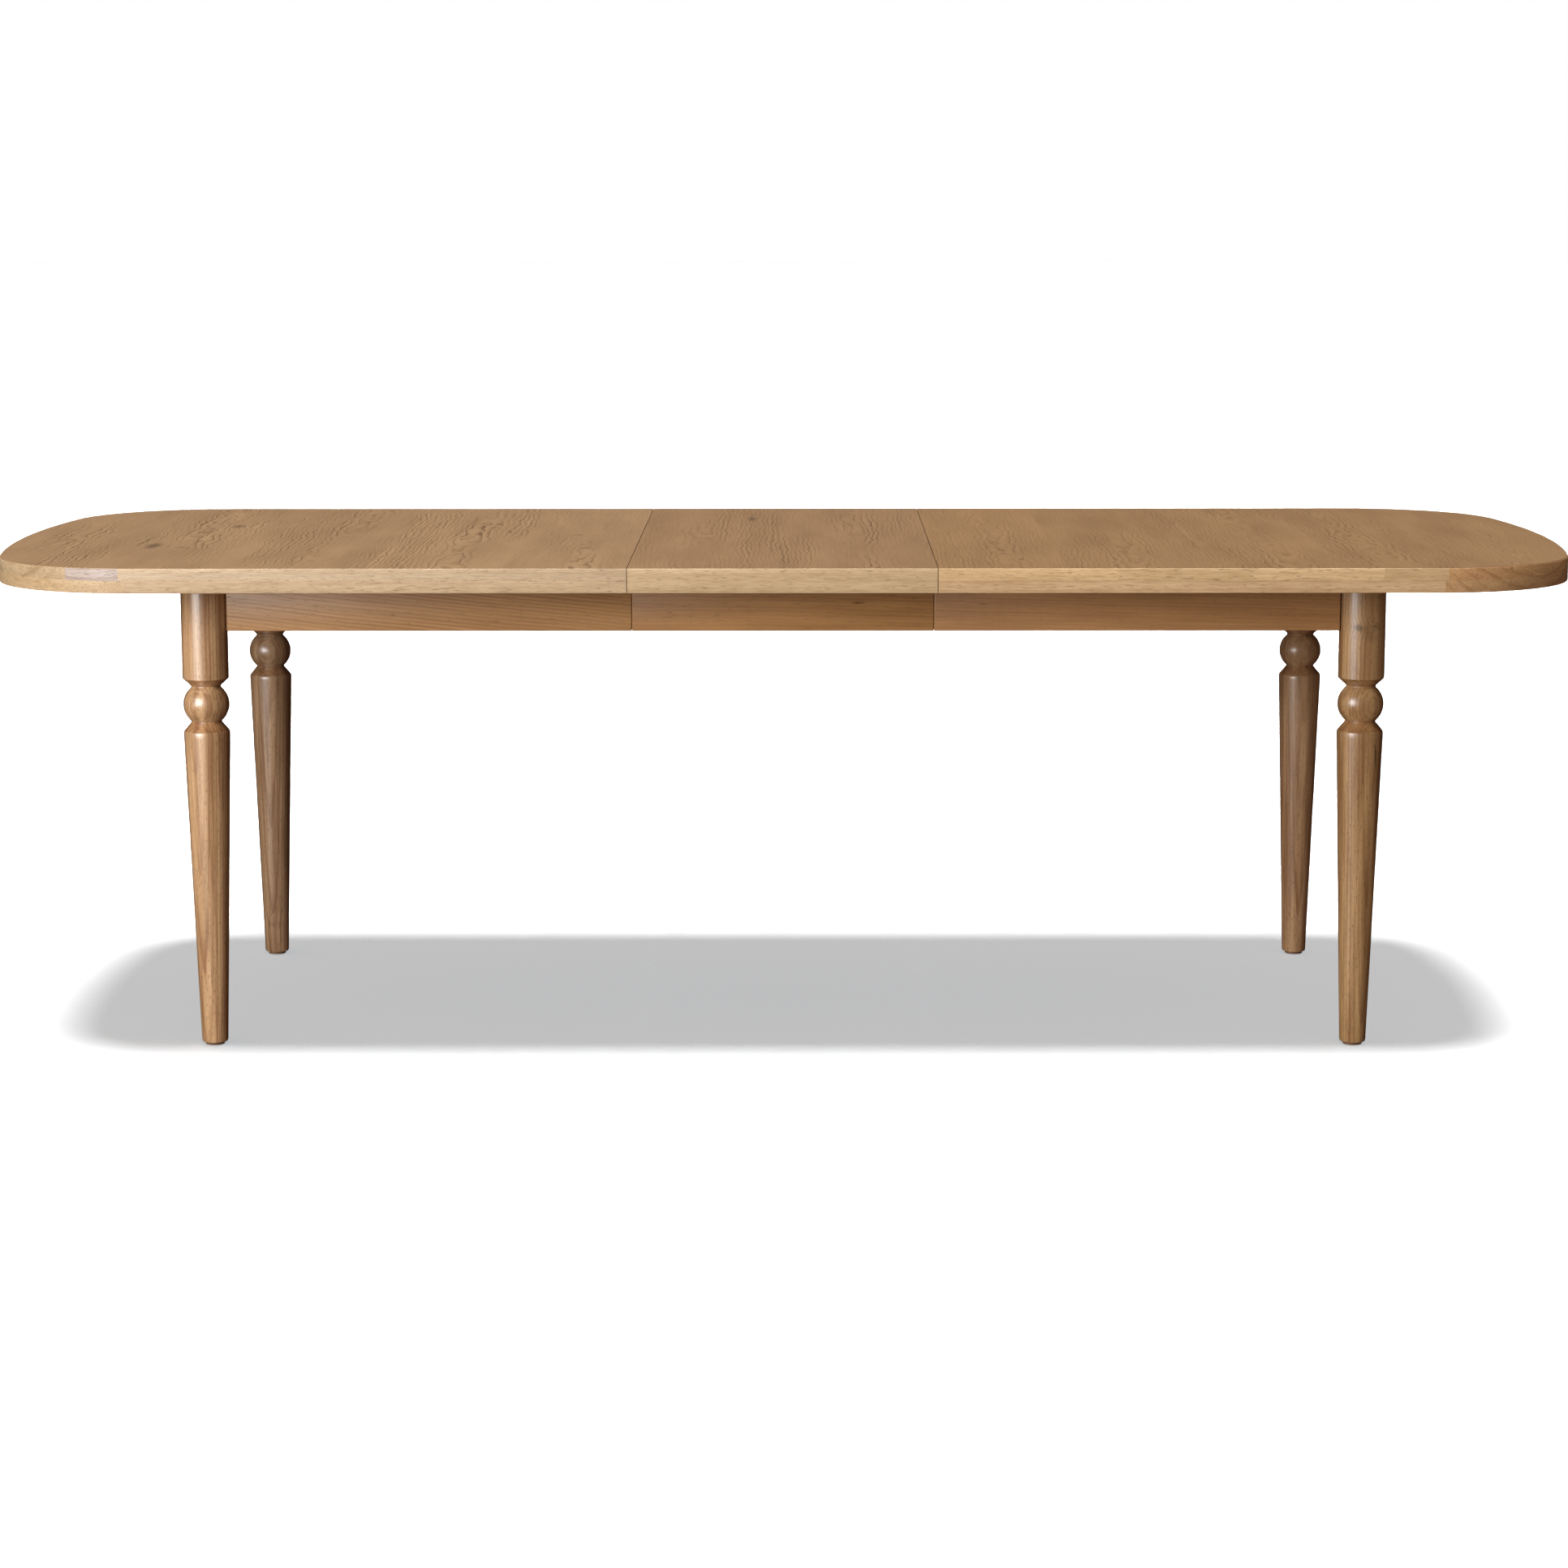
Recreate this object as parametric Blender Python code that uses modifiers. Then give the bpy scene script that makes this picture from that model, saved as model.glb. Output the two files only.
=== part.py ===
"""Extendable dining table with two sliding halves and one drop-in leaf.

Metres, +Z up. The table stands on z = 0, centred on the origin, drawn out with its leaf in place.
Its length runs along X and its depth along Y, with the front at -Y. Each half is drawn as the
right half and hangs on a frame; the left half's frame is turned half a turn about Z.
"""

import math

import bmesh
import bpy
from mathutils import Matrix, Vector

# Overall size and the shape of the top
LENGTH = 2.436
WIDTH = 1.016
HEIGHT = 0.755
TOP_THICKNESS = 0.0372
LEAF_LENGTH = 0.458
SEAM_GAP = 0.0005
CORNER_RADIUS = 0.230
END_BOW_RADIUS = 2.05
CORNER_STEPS = 10
BOW_STEPS = 8
ARRIS = 0.0006

# Gap left between pieces that touch
GAP = 0.0003

# Legs, turned from round stock
LEG_X = 0.8795
LEG_Y = 0.3395
LEG_RADIUS = 0.035
LEG_STEPS = 24
FOOT_RADIUS = 0.020
FOOT_ROUND = 0.0025
NECK_RADIUS = 0.0232
BLOCK_FOOT_Z = 0.5725
UPPER_NECK_Z = 0.5594
BALL_Z = 0.5305
BALL_RADIUS = 0.0349
BALL_HALF_HEIGHT = 0.0325
BALL_STEPS = 8
COLLAR_FOOT_Z = 0.5050
COLLAR_TOP_Z = 0.4870
TAPER_TOP_Z = 0.480

# Glides under the legs
GLIDE_RADIUS = 0.015
GLIDE_THICKNESS = 0.0037
GLIDE_EDGE = 0.001
GLIDE_NAIL_RADIUS = 0.0025
GLIDE_NAIL_LENGTH = 0.016

# Aprons: rails under the edge of the top
APRON_DEPTH = 0.0744
APRON_THICKNESS = 0.022
APRON_PROUD = 0.0115
RAIL_ARRIS = 0.0015

# Corner blocks and hanger bolts behind the legs
BLOCK_DEPTH = 0.030
BLOCK_HEIGHT = 0.062
BOLT_RADIUS = 0.004
BOLT_SINK = 0.012
BOLT_TAIL = 0.014
NUT_RADIUS = 0.0075
NUT_THICKNESS = 0.0065
WASHER_RADIUS = 0.010
WASHER_THICKNESS = 0.0016
BOLT_Z = 0.684

# Extension slides: a tongued beam between two grooved members, at the front and at the rear
BEAM_Y = 0.25
BEAM_HALF_LENGTH = 0.42
BEAM_HALF_WIDTH = 0.014
BEAM_BOTTOM = 0.672
BEAM_TOP = 0.716
TONGUE_REACH = 0.006
TONGUE_BOTTOM = 0.689
TONGUE_TOP = 0.699
SLIDE_PLAY = 0.0005
MEMBER_WIDTH = 0.026
MEMBER_BOTTOM = 0.680
MEMBER_OUTER_END = 0.70
MEMBER_INNER_END = -0.10
GROOVE_DEPTH = 0.0065

# Bridge board under the beams, with the equalizer's axle
BRIDGE_HALF_LENGTH = 0.060
BRIDGE_HALF_WIDTH = 0.268
BRIDGE_BOTTOM = 0.652
AXLE_RADIUS = 0.005
AXLE_TOP = 0.7165
AXLE_HEAD_RADIUS = 0.010
AXLE_HEAD_THICKNESS = 0.0042
CLIP_GROOVE_RADIUS = 0.004
CLIP_GROOVE_BOTTOM = 0.7128
CLIP_GROOVE_TOP = 0.7143
CLIP_RADIUS = 0.0085
CLIP_THICKNESS = 0.0009
CLIP_MOUTH_DEG = 50

# Equalizer: one pinion between a rack on each half
MODULE = 0.003
PINION_TEETH = 14
PRESSURE_ANGLE = math.radians(20)
PINION_ADDENDUM = 1.0 * MODULE
PINION_DEDENDUM = 1.2 * MODULE
RACK_ADDENDUM = 0.8 * MODULE
RACK_DEDENDUM = 1.25 * MODULE
FLANK_PLAY = 0.00025
FLANK_STEPS = 4
RACK_BOTTOM = 0.7045
RACK_BACK = 0.012
RACK_TOOTH_COUNT = 33
RACK_FIRST_TOOTH = -7
RACK_OUTER_END = 0.52
PINION_BOTTOM = 0.7050
PINION_TOP = 0.7125
HUB_RADIUS = 0.0095

# Alignment pins between a half and whatever it meets
PIN_RADIUS = 0.004
PIN_PLAY = 0.0003
PIN_SINK = 0.021
PIN_REACH = 0.016
PIN_NOSE = 0.0015
PIN_YS = (0.32, -0.26)
PIN_BORE_DEPTH = 0.022
POCKET_HALF_WIDTH = 0.0046
POCKET_LENGTH = 0.020

# Latches under the seams: a lever on one side, a keeper on the other
LATCH_Y = 0.12
LATCH_BACKSET = 0.026
LATCH_REACH = 0.045
LATCH_PLATE = (0.036, 0.050)
KEEPER_PLATE = (0.024, 0.044)
PLATE_THICKNESS = 0.002
STUD_RADIUS = 0.004
STUD_HEAD_RADIUS = 0.006
STUD_HEAD_THICKNESS = 0.0015
LEVER_THICKNESS = 0.0034
LEVER_EYE_RADIUS = 0.011
LEVER_PAD_RADIUS = 0.014
LEVER_TIP_X = 0.074
LEVER_TIP_RADIUS = 0.006
LEVER_LOW_SHOULDER_DEG = (240, 310)
LEVER_HIGH_SHOULDER_DEG = (50, 120)
LEVER_SLOT_HALF_WIDTH = 0.0045
LEVER_SLOT_TURN_DEG = 32
LEVER_ROUND_STEPS = 6
LEVER_SHOULDER_STEPS = 3
LEVER_SLOT_STEPS = 5

# Cleats glued inside the leaf's aprons
CLEAT_SIZE = 0.020
CLEAT_HALF_LENGTH = 0.20
CLEAT_HEIGHT = 0.0275

ROUND_STEPS = 16
HEX_SIDES = 6
SMOOTH_ANGLE = math.radians(35)
WELD = 0.00001

UNDERSIDE = HEIGHT - TOP_THICKNESS
MOUNT_Z = UNDERSIDE - GAP
LAYER_SPLIT = HEIGHT - TOP_THICKNESS / 2
SEAM_X = LEAF_LENGTH / 2
HALF_SEAM_X = SEAM_X + SEAM_GAP / 2
LEAF_SEAM_X = SEAM_X - SEAM_GAP / 2
APRON_BOTTOM = UNDERSIDE - APRON_DEPTH
APRON_FACE_Y = LEG_Y + APRON_PROUD
APRON_INNER_Y = APRON_FACE_Y - APRON_THICKNESS
RAIL_STANDOFF = LEG_RADIUS + GAP
PITCH = math.pi * MODULE
PITCH_RADIUS = MODULE * PINION_TEETH / 2
PIN_Z = (UNDERSIDE + LAYER_SPLIT) / 2
LEVER_TOP = MOUNT_Z - PLATE_THICKNESS - GAP
LEVER_BOTTOM = LEVER_TOP - LEVER_THICKNESS
STUD_BOTTOM = LEVER_BOTTOM - GAP - STUD_HEAD_THICKNESS

TURNED_TO_X = Matrix.Rotation(math.pi / 2, 4, "Y")
SECTION_TO_X = Matrix(((0, 0, 1, 0), (1, 0, 0, 0), (0, 1, 0, 0), (0, 0, 0, 1)))


def clear_scene():
    """Remove every object that the file starts with."""
    for obj in list(bpy.data.objects):
        bpy.data.objects.remove(obj, do_unlink=True)


def make_collection(name):
    """A new collection, linked to the scene."""
    collection = bpy.data.collections.new(name)
    bpy.context.scene.collection.children.link(collection)
    return collection


def make_material(name, color, roughness, metallic=0.0):
    """A Principled material."""
    material = bpy.data.materials.new(name)
    material.use_nodes = True
    shader = material.node_tree.nodes["Principled BSDF"]
    shader.inputs["Base Color"].default_value = (*color, 1.0)
    shader.inputs["Roughness"].default_value = roughness
    shader.inputs["Metallic"].default_value = metallic
    return material


clear_scene()
PARTS = make_collection("extendable_dining_table")
CUTTERS = make_collection("cutters")

TOP_VENEER = make_material("top_veneer", (0.34, 0.20, 0.10), 0.38)
EDGE_BAND = make_material("edge_band", (0.52, 0.34, 0.17), 0.42)
APRON_WOOD = make_material("apron_wood", (0.30, 0.17, 0.08), 0.45)
LEG_WOOD = make_material("leg_wood", (0.38, 0.22, 0.11), 0.40)
SLIDE_WOOD = make_material("slide_wood", (0.55, 0.40, 0.24), 0.60)
STEEL = make_material("zinc_steel", (0.62, 0.62, 0.60), 0.35, 1.0)
NYLON = make_material("white_nylon", (0.78, 0.76, 0.70), 0.45)
DARK_NYLON = make_material("dark_nylon", (0.05, 0.045, 0.04), 0.50)


def make_frame(name, turn=0.0):
    """An empty that carries the pieces which move together."""
    frame = bpy.data.objects.new(name, None)
    frame.rotation_euler.z = turn
    PARTS.objects.link(frame)
    return frame


def link(mesh, name, frame, material):
    """A part made from a mesh, shaded smooth between sharp edges, on its frame."""
    mesh.name = name
    mesh.materials.clear()
    mesh.materials.append(material)
    mesh.shade_smooth()
    mesh.set_sharp_from_angle(angle=SMOOTH_ANGLE)
    obj = bpy.data.objects.new(name, mesh)
    obj.parent = frame
    PARTS.objects.link(obj)
    return obj


def box_mesh(low, high):
    """A box between two corners."""
    shape = bmesh.new()
    bmesh.ops.create_cube(shape, size=1.0)
    size = Vector(high) - Vector(low)
    middle = (Vector(high) + Vector(low)) / 2
    bmesh.ops.transform(shape, matrix=Matrix.Diagonal((*size, 1.0)), verts=shape.verts)
    bmesh.ops.translate(shape, vec=middle, verts=shape.verts)
    return to_mesh(shape)


def rod_mesh(start, end, radius, steps=ROUND_STEPS):
    """A cylinder with its axis from start to end."""
    start = Vector(start)
    along = Vector(end) - start
    turn = Vector((0, 0, 1)).rotation_difference(along).to_matrix().to_4x4()
    place = Matrix.Translation(start + along / 2) @ turn
    shape = bmesh.new()
    bmesh.ops.create_cone(
        shape, cap_ends=True, segments=steps, radius1=radius, radius2=radius,
        depth=along.length, matrix=place,
    )
    return to_mesh(shape)


def to_mesh(shape):
    """The bmesh as a new mesh, with its faces pointing out."""
    bmesh.ops.recalc_face_normals(shape, faces=shape.faces)
    mesh = bpy.data.meshes.new("shape")
    shape.to_mesh(mesh)
    shape.free()
    return mesh


def plate_mesh(outline, bottom, top):
    """A flat plate with the given outline, from one level up to another."""
    curve = bpy.data.curves.new("outline", "CURVE")
    curve.dimensions = "2D"
    curve.fill_mode = "BOTH"
    curve.extrude = (top - bottom) / 2
    spline = curve.splines.new("POLY")
    spline.points.add(len(outline) - 1)
    for point, (x, y) in zip(spline.points, outline):
        point.co = (x, y, 0, 1)
    spline.use_cyclic_u = True
    drawn = bpy.data.objects.new("outline", curve)
    CUTTERS.objects.link(drawn)
    bpy.context.view_layer.update()
    evaluated = drawn.evaluated_get(bpy.context.evaluated_depsgraph_get())
    mesh = bpy.data.meshes.new_from_object(evaluated)
    bpy.data.objects.remove(drawn, do_unlink=True)
    shape = bmesh.new()
    shape.from_mesh(mesh)
    bmesh.ops.remove_doubles(shape, verts=shape.verts, dist=WELD)
    bmesh.ops.translate(shape, vec=(0, 0, (top + bottom) / 2), verts=shape.verts)
    return to_mesh(shape)


def bar_mesh(section, start_x, end_x):
    """A bar along X, with its section drawn in Y and Z."""
    mesh = plate_mesh(section, start_x, end_x)
    mesh.transform(SECTION_TO_X)
    return mesh


def profile_mesh(profile):
    """A half profile to turn, as edges from the top down the outer side."""
    mesh = bpy.data.meshes.new("profile")
    edges = [(i, i + 1) for i in range(len(profile) - 1)]
    mesh.from_pydata([(radius, 0, z) for radius, z in profile], edges, [])
    return mesh


def turn_profile(obj, steps):
    """Turn the part's profile a full circle about its own Z axis."""
    screw = obj.modifiers.new("Turn", "SCREW")
    screw.steps = steps
    screw.render_steps = steps
    screw.use_merge_vertices = True
    screw.merge_threshold = WELD
    screw.use_smooth_shade = True


def soften(obj, width):
    """Break the part's sharp edges."""
    bevel = obj.modifiers.new("Arris", "BEVEL")
    bevel.width = width
    bevel.segments = 1
    bevel.limit_method = "ANGLE"
    bevel.angle_limit = SMOOTH_ANGLE


def combine(obj, mesh, operation):
    """Cut a shape from a part, or join one to it."""
    tool = bpy.data.objects.new(obj.name + "_" + operation.lower(), mesh)
    tool.parent = obj.parent
    tool.location = (0, 0, 0)
    tool.hide_render = True
    tool.display_type = "WIRE"
    CUTTERS.objects.link(tool)
    boolean = obj.modifiers.new(operation.title(), "BOOLEAN")
    boolean.operation = operation
    boolean.solver = "EXACT"
    boolean.object = tool


def arc(center, radius, start_deg, end_deg, steps):
    """Points along an arc, both ends included."""
    turns = [math.radians(start_deg + (end_deg - start_deg) * i / steps) for i in range(steps + 1)]
    return [(center[0] + radius * math.cos(a), center[1] + radius * math.sin(a)) for a in turns]


def half_outline():
    """The right half's top: square at the seam, round corners, and a gently bowed end."""
    bow_x = LENGTH / 2 - END_BOW_RADIUS
    corner_y = WIDTH / 2 - CORNER_RADIUS
    spread = END_BOW_RADIUS - CORNER_RADIUS
    corner_x = bow_x + math.sqrt(spread**2 - corner_y**2)
    meet = math.degrees(math.asin(corner_y / spread))
    points = [(HALF_SEAM_X, -WIDTH / 2)]
    points += arc((corner_x, -corner_y), CORNER_RADIUS, -90, -meet, CORNER_STEPS)
    points += arc((bow_x, 0), END_BOW_RADIUS, -meet, meet, BOW_STEPS)[1:-1]
    points += arc((corner_x, corner_y), CORNER_RADIUS, meet, 90, CORNER_STEPS)
    points += [(HALF_SEAM_X, WIDTH / 2)]
    return points


def ball_point(angle):
    """A point of the turned ball's flattened profile."""
    return (BALL_RADIUS * math.cos(angle), BALL_Z + BALL_HALF_HEIGHT * math.sin(angle))


def leg_profile():
    """The leg from its top down: block, chamfer, neck, ball, neck, collar and long taper."""
    reach = math.acos(NECK_RADIUS / BALL_RADIUS)
    ball = [ball_point(reach - 2 * reach * i / BALL_STEPS) for i in range(BALL_STEPS + 1)]
    foot_z = GLIDE_THICKNESS + GAP
    return [
        (0, MOUNT_Z),
        (LEG_RADIUS, MOUNT_Z),
        (LEG_RADIUS, BLOCK_FOOT_Z),
        (NECK_RADIUS, UPPER_NECK_Z),
        *ball,
        (NECK_RADIUS, COLLAR_FOOT_Z),
        (LEG_RADIUS, COLLAR_TOP_Z),
        (LEG_RADIUS, TAPER_TOP_Z),
        (FOOT_RADIUS, foot_z + FOOT_ROUND),
        (FOOT_RADIUS - FOOT_ROUND, foot_z),
        (0, foot_z),
    ]


def make_top_half(frame, prefix):
    """The two layers of one half's top, with bores for the alignment pins in the lower one."""
    outline = half_outline()
    upper = plate_mesh(outline, LAYER_SPLIT + GAP / 2, HEIGHT)
    soften(link(upper, prefix + "_top_panel", frame, TOP_VENEER), ARRIS)
    lower = plate_mesh(outline, UNDERSIDE, LAYER_SPLIT - GAP / 2)
    slab = link(lower, prefix + "_top_core", frame, EDGE_BAND)
    soften(slab, ARRIS)
    for y in (*PIN_YS, *(-y for y in PIN_YS)):
        start = (HALF_SEAM_X - PIN_REACH, y, PIN_Z)
        end = (HALF_SEAM_X + PIN_BORE_DEPTH, y, PIN_Z)
        combine(slab, rod_mesh(start, end, PIN_RADIUS + PIN_PLAY), "DIFFERENCE")


def make_pin(frame, name, y):
    """An alignment pin that stands out of the half's seam face."""
    half_length = (PIN_SINK + PIN_REACH) / 2
    profile = [
        (0, half_length),
        (PIN_RADIUS - PIN_NOSE, half_length),
        (PIN_RADIUS, half_length - PIN_NOSE),
        (PIN_RADIUS, PIN_NOSE - half_length),
        (PIN_RADIUS - PIN_NOSE, -half_length),
        (0, -half_length),
    ]
    pin = link(profile_mesh(profile), name, frame, SLIDE_WOOD)
    turn_profile(pin, ROUND_STEPS)
    middle_x = HALF_SEAM_X + PIN_SINK - half_length
    pin.matrix_local = Matrix.Translation((middle_x, y, PIN_Z)) @ TURNED_TO_X


def make_leg(frame, prefix, side):
    """A turned leg on its glide, with its corner block and hanger bolt; side is +1 or -1 in Y."""
    leg_y = side * LEG_Y
    across = Vector((-1, -side, 0)).normalized()
    axis = Vector((LEG_X, leg_y, BOLT_Z))
    leg = link(profile_mesh(leg_profile()), prefix + "_leg", frame, LEG_WOOD)
    turn_profile(leg, LEG_STEPS)
    leg.location = (LEG_X, leg_y, 0)
    bore = BOLT_RADIUS + GAP
    socket_ends = (axis + across * (BOLT_SINK - GAP), axis + across * (LEG_RADIUS + BOLT_TAIL))
    combine(leg, rod_mesh(*socket_ends, bore), "DIFFERENCE")
    nail_top = GLIDE_THICKNESS + GLIDE_NAIL_LENGTH
    nail_bore_ends = ((LEG_X, leg_y, 0), (LEG_X, leg_y, nail_top + GAP))
    combine(leg, rod_mesh(*nail_bore_ends, GLIDE_NAIL_RADIUS + GAP), "DIFFERENCE")

    glide_profile = [
        (0, nail_top),
        (GLIDE_NAIL_RADIUS, nail_top),
        (GLIDE_NAIL_RADIUS, GLIDE_THICKNESS),
        (GLIDE_RADIUS, GLIDE_THICKNESS),
        (GLIDE_RADIUS, GLIDE_EDGE),
        (GLIDE_RADIUS - GLIDE_EDGE, 0),
        (0, 0),
    ]
    glide = link(profile_mesh(glide_profile), prefix + "_glide", frame, DARK_NYLON)
    turn_profile(glide, ROUND_STEPS)
    glide.location = (LEG_X, leg_y, 0)

    near = (LEG_RADIUS + GAP) * math.sqrt(2)
    far = near + BLOCK_DEPTH * math.sqrt(2)
    wall = APRON_THICKNESS - APRON_PROUD + GAP
    corners = [(near - wall, wall), (far - wall, wall), (wall, far - wall), (wall, near - wall)]
    outline = [(LEG_X - u, leg_y - side * v) for u, v in corners]
    block_mesh = plate_mesh(outline, MOUNT_Z - BLOCK_HEIGHT, MOUNT_Z)
    block = link(block_mesh, prefix + "_corner_block", frame, SLIDE_WOOD)
    soften(block, RAIL_ARRIS)
    far_face = LEG_RADIUS + GAP + BLOCK_DEPTH
    bolt_ends = (axis + across * BOLT_SINK, axis + across * (far_face + BOLT_TAIL))
    combine(block, rod_mesh(*bolt_ends, bore), "DIFFERENCE")

    bolt = link(rod_mesh(*bolt_ends, BOLT_RADIUS), prefix + "_hanger_bolt", frame, STEEL)
    washer_start = far_face + GAP
    nut_start = washer_start + WASHER_THICKNESS
    washer_ends = (axis + across * washer_start, axis + across * nut_start)
    combine(bolt, rod_mesh(*washer_ends, WASHER_RADIUS), "UNION")
    nut_inner_face = nut_start - WASHER_THICKNESS / 2
    nut_ends = (axis + across * nut_inner_face, axis + across * (nut_start + NUT_THICKNESS))
    combine(bolt, rod_mesh(*nut_ends, NUT_RADIUS, HEX_SIDES), "UNION")


def make_rail(frame, name, low, high):
    """A straight apron rail."""
    rail = link(box_mesh(low, high), name, frame, APRON_WOOD)
    soften(rail, RAIL_ARRIS)


def member_section(near_y):
    """A slide member's section, with the groove on the side that faces the beam."""
    far_y = near_y + MEMBER_WIDTH
    groove_y = near_y + GROOVE_DEPTH
    groove_bottom = TONGUE_BOTTOM - SLIDE_PLAY
    groove_top = TONGUE_TOP + SLIDE_PLAY
    return [
        (near_y, MEMBER_BOTTOM),
        (far_y, MEMBER_BOTTOM),
        (far_y, MOUNT_Z),
        (near_y, MOUNT_Z),
        (near_y, groove_top),
        (groove_y, groove_top),
        (groove_y, groove_bottom),
        (near_y, groove_bottom),
    ]


def beam_section(middle_y):
    """A centre beam's section, with a tongue on each side."""
    right = [
        (BEAM_HALF_WIDTH, BEAM_BOTTOM),
        (BEAM_HALF_WIDTH, TONGUE_BOTTOM),
        (BEAM_HALF_WIDTH + TONGUE_REACH, TONGUE_BOTTOM),
        (BEAM_HALF_WIDTH + TONGUE_REACH, TONGUE_TOP),
        (BEAM_HALF_WIDTH, TONGUE_TOP),
        (BEAM_HALF_WIDTH, BEAM_TOP),
    ]
    left = [(-y, z) for y, z in reversed(right)]
    return [(middle_y + y, z) for y, z in right + left]


def rack_outline():
    """A rack whose teeth point to +Y, with a tooth space centred on x = 0."""
    tip_y = RACK_ADDENDUM - PITCH_RADIUS
    root_y = -RACK_DEDENDUM - PITCH_RADIUS
    slope = math.tan(PRESSURE_ANGLE)
    half_tooth = PITCH / 4 - FLANK_PLAY / 2
    tip_half = half_tooth - RACK_ADDENDUM * slope
    root_half = half_tooth + RACK_DEDENDUM * slope
    points = []
    for i in range(RACK_TOOTH_COUNT):
        middle = (RACK_FIRST_TOOTH + i + 0.5) * PITCH
        points += [
            (middle - root_half, root_y),
            (middle - tip_half, tip_y),
            (middle + tip_half, tip_y),
            (middle + root_half, root_y),
        ]
    inner_end = RACK_FIRST_TOOTH * PITCH
    back_y = root_y - RACK_BACK
    points += [(RACK_OUTER_END, root_y), (RACK_OUTER_END, back_y)]
    points += [(inner_end, back_y), (inner_end, root_y)]
    return points[::-1]


def pinion_outline():
    """An involute pinion with one tooth centred on +Y."""
    base = PITCH_RADIUS * math.cos(PRESSURE_ANGLE)
    root = PITCH_RADIUS - PINION_DEDENDUM
    tip = PITCH_RADIUS + PINION_ADDENDUM
    half_pitch = math.pi / (2 * PINION_TEETH) - FLANK_PLAY / (2 * PITCH_RADIUS)
    at_pitch = math.tan(PRESSURE_ANGLE) - PRESSURE_ANGLE

    def half_angle(radius):
        pressure = math.acos(min(1.0, base / radius))
        return half_pitch + at_pitch - (math.tan(pressure) - pressure)

    radii = [root] + [base + (tip - base) * i / FLANK_STEPS for i in range(FLANK_STEPS + 1)]
    points = []
    for tooth in range(PINION_TEETH):
        middle = math.pi / 2 + tooth * 2 * math.pi / PINION_TEETH
        flank = [(r, half_angle(max(r, base))) for r in radii]
        points += [(r * math.cos(middle - a), r * math.sin(middle - a)) for r, a in flank]
        points += [(r * math.cos(middle + a), r * math.sin(middle + a)) for r, a in reversed(flank)]
    return points


def make_half(turn, prefix, near_name, far_name):
    """One half of the table, drawn at +X; near is its -Y side before the frame turns it."""
    frame = make_frame(prefix + "_half_frame", turn)
    make_top_half(frame, prefix)
    for i, y in enumerate(PIN_YS):
        make_pin(frame, f"{prefix}_pin_{i + 1}", y)
    rail_end = LEG_X - RAIL_STANDOFF
    for side, where in ((-1, near_name), (1, far_name)):
        make_leg(frame, f"{prefix}_{where}", side)
        rail_ys = sorted((side * APRON_INNER_Y, side * APRON_FACE_Y))
        make_rail(
            frame, f"{prefix}_{where}_rail",
            (HALF_SEAM_X, rail_ys[0], APRON_BOTTOM), (rail_end, rail_ys[1], MOUNT_Z),
        )
    end_face = LEG_X + APRON_PROUD
    end_half = LEG_Y - RAIL_STANDOFF
    make_rail(
        frame, prefix + "_end_rail",
        (end_face - APRON_THICKNESS, -end_half, APRON_BOTTOM), (end_face, end_half, MOUNT_Z),
    )
    near_face = BEAM_HALF_WIDTH + SLIDE_PLAY
    for middle, where in ((-BEAM_Y, near_name), (BEAM_Y, far_name)):
        mesh = bar_mesh(member_section(middle + near_face), MEMBER_INNER_END, MEMBER_OUTER_END)
        link(mesh, f"{prefix}_{where}_slide", frame, SLIDE_WOOD)
    link(plate_mesh(rack_outline(), RACK_BOTTOM, MOUNT_Z), prefix + "_rack", frame, NYLON)
    return frame


def make_leaf():
    """The drop-in leaf: two layers, two aprons, and a cleat behind each apron."""
    frame = make_frame("leaf_frame")
    low_y, high_y = -WIDTH / 2, WIDTH / 2
    panel = box_mesh((-LEAF_SEAM_X, low_y, LAYER_SPLIT + GAP / 2), (LEAF_SEAM_X, high_y, HEIGHT))
    soften(link(panel, "leaf_top_panel", frame, TOP_VENEER), ARRIS)
    core = box_mesh((-LEAF_SEAM_X, low_y, UNDERSIDE), (LEAF_SEAM_X, high_y, LAYER_SPLIT - GAP / 2))
    slab = link(core, "leaf_top_core", frame, EDGE_BAND)
    soften(slab, ARRIS)
    pocket_top = PIN_Z + POCKET_HALF_WIDTH
    for turn in (1, -1):
        for y in PIN_YS:
            ends = sorted(turn * (LEAF_SEAM_X + reach) for reach in (POCKET_LENGTH, -POCKET_LENGTH))
            low = (ends[0], turn * y - POCKET_HALF_WIDTH, UNDERSIDE - POCKET_LENGTH)
            high = (ends[1], turn * y + POCKET_HALF_WIDTH, pocket_top)
            combine(slab, box_mesh(low, high), "DIFFERENCE")
    for side, where in ((-1, "front"), (1, "rear")):
        rail_ys = sorted((side * APRON_INNER_Y, side * APRON_FACE_Y))
        make_rail(
            frame, f"leaf_{where}_rail",
            (-LEAF_SEAM_X, rail_ys[0], APRON_BOTTOM), (LEAF_SEAM_X, rail_ys[1], MOUNT_Z),
        )
        cleat_face = APRON_INNER_Y - GAP
        cleat_ys = sorted((side * (cleat_face - CLEAT_SIZE), side * cleat_face))
        cleat = box_mesh(
            (-CLEAT_HALF_LENGTH, cleat_ys[0], MOUNT_Z - CLEAT_HEIGHT),
            (CLEAT_HALF_LENGTH, cleat_ys[1], MOUNT_Z),
        )
        soften(link(cleat, f"leaf_{where}_cleat", frame, SLIDE_WOOD), RAIL_ARRIS)
    return frame


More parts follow.
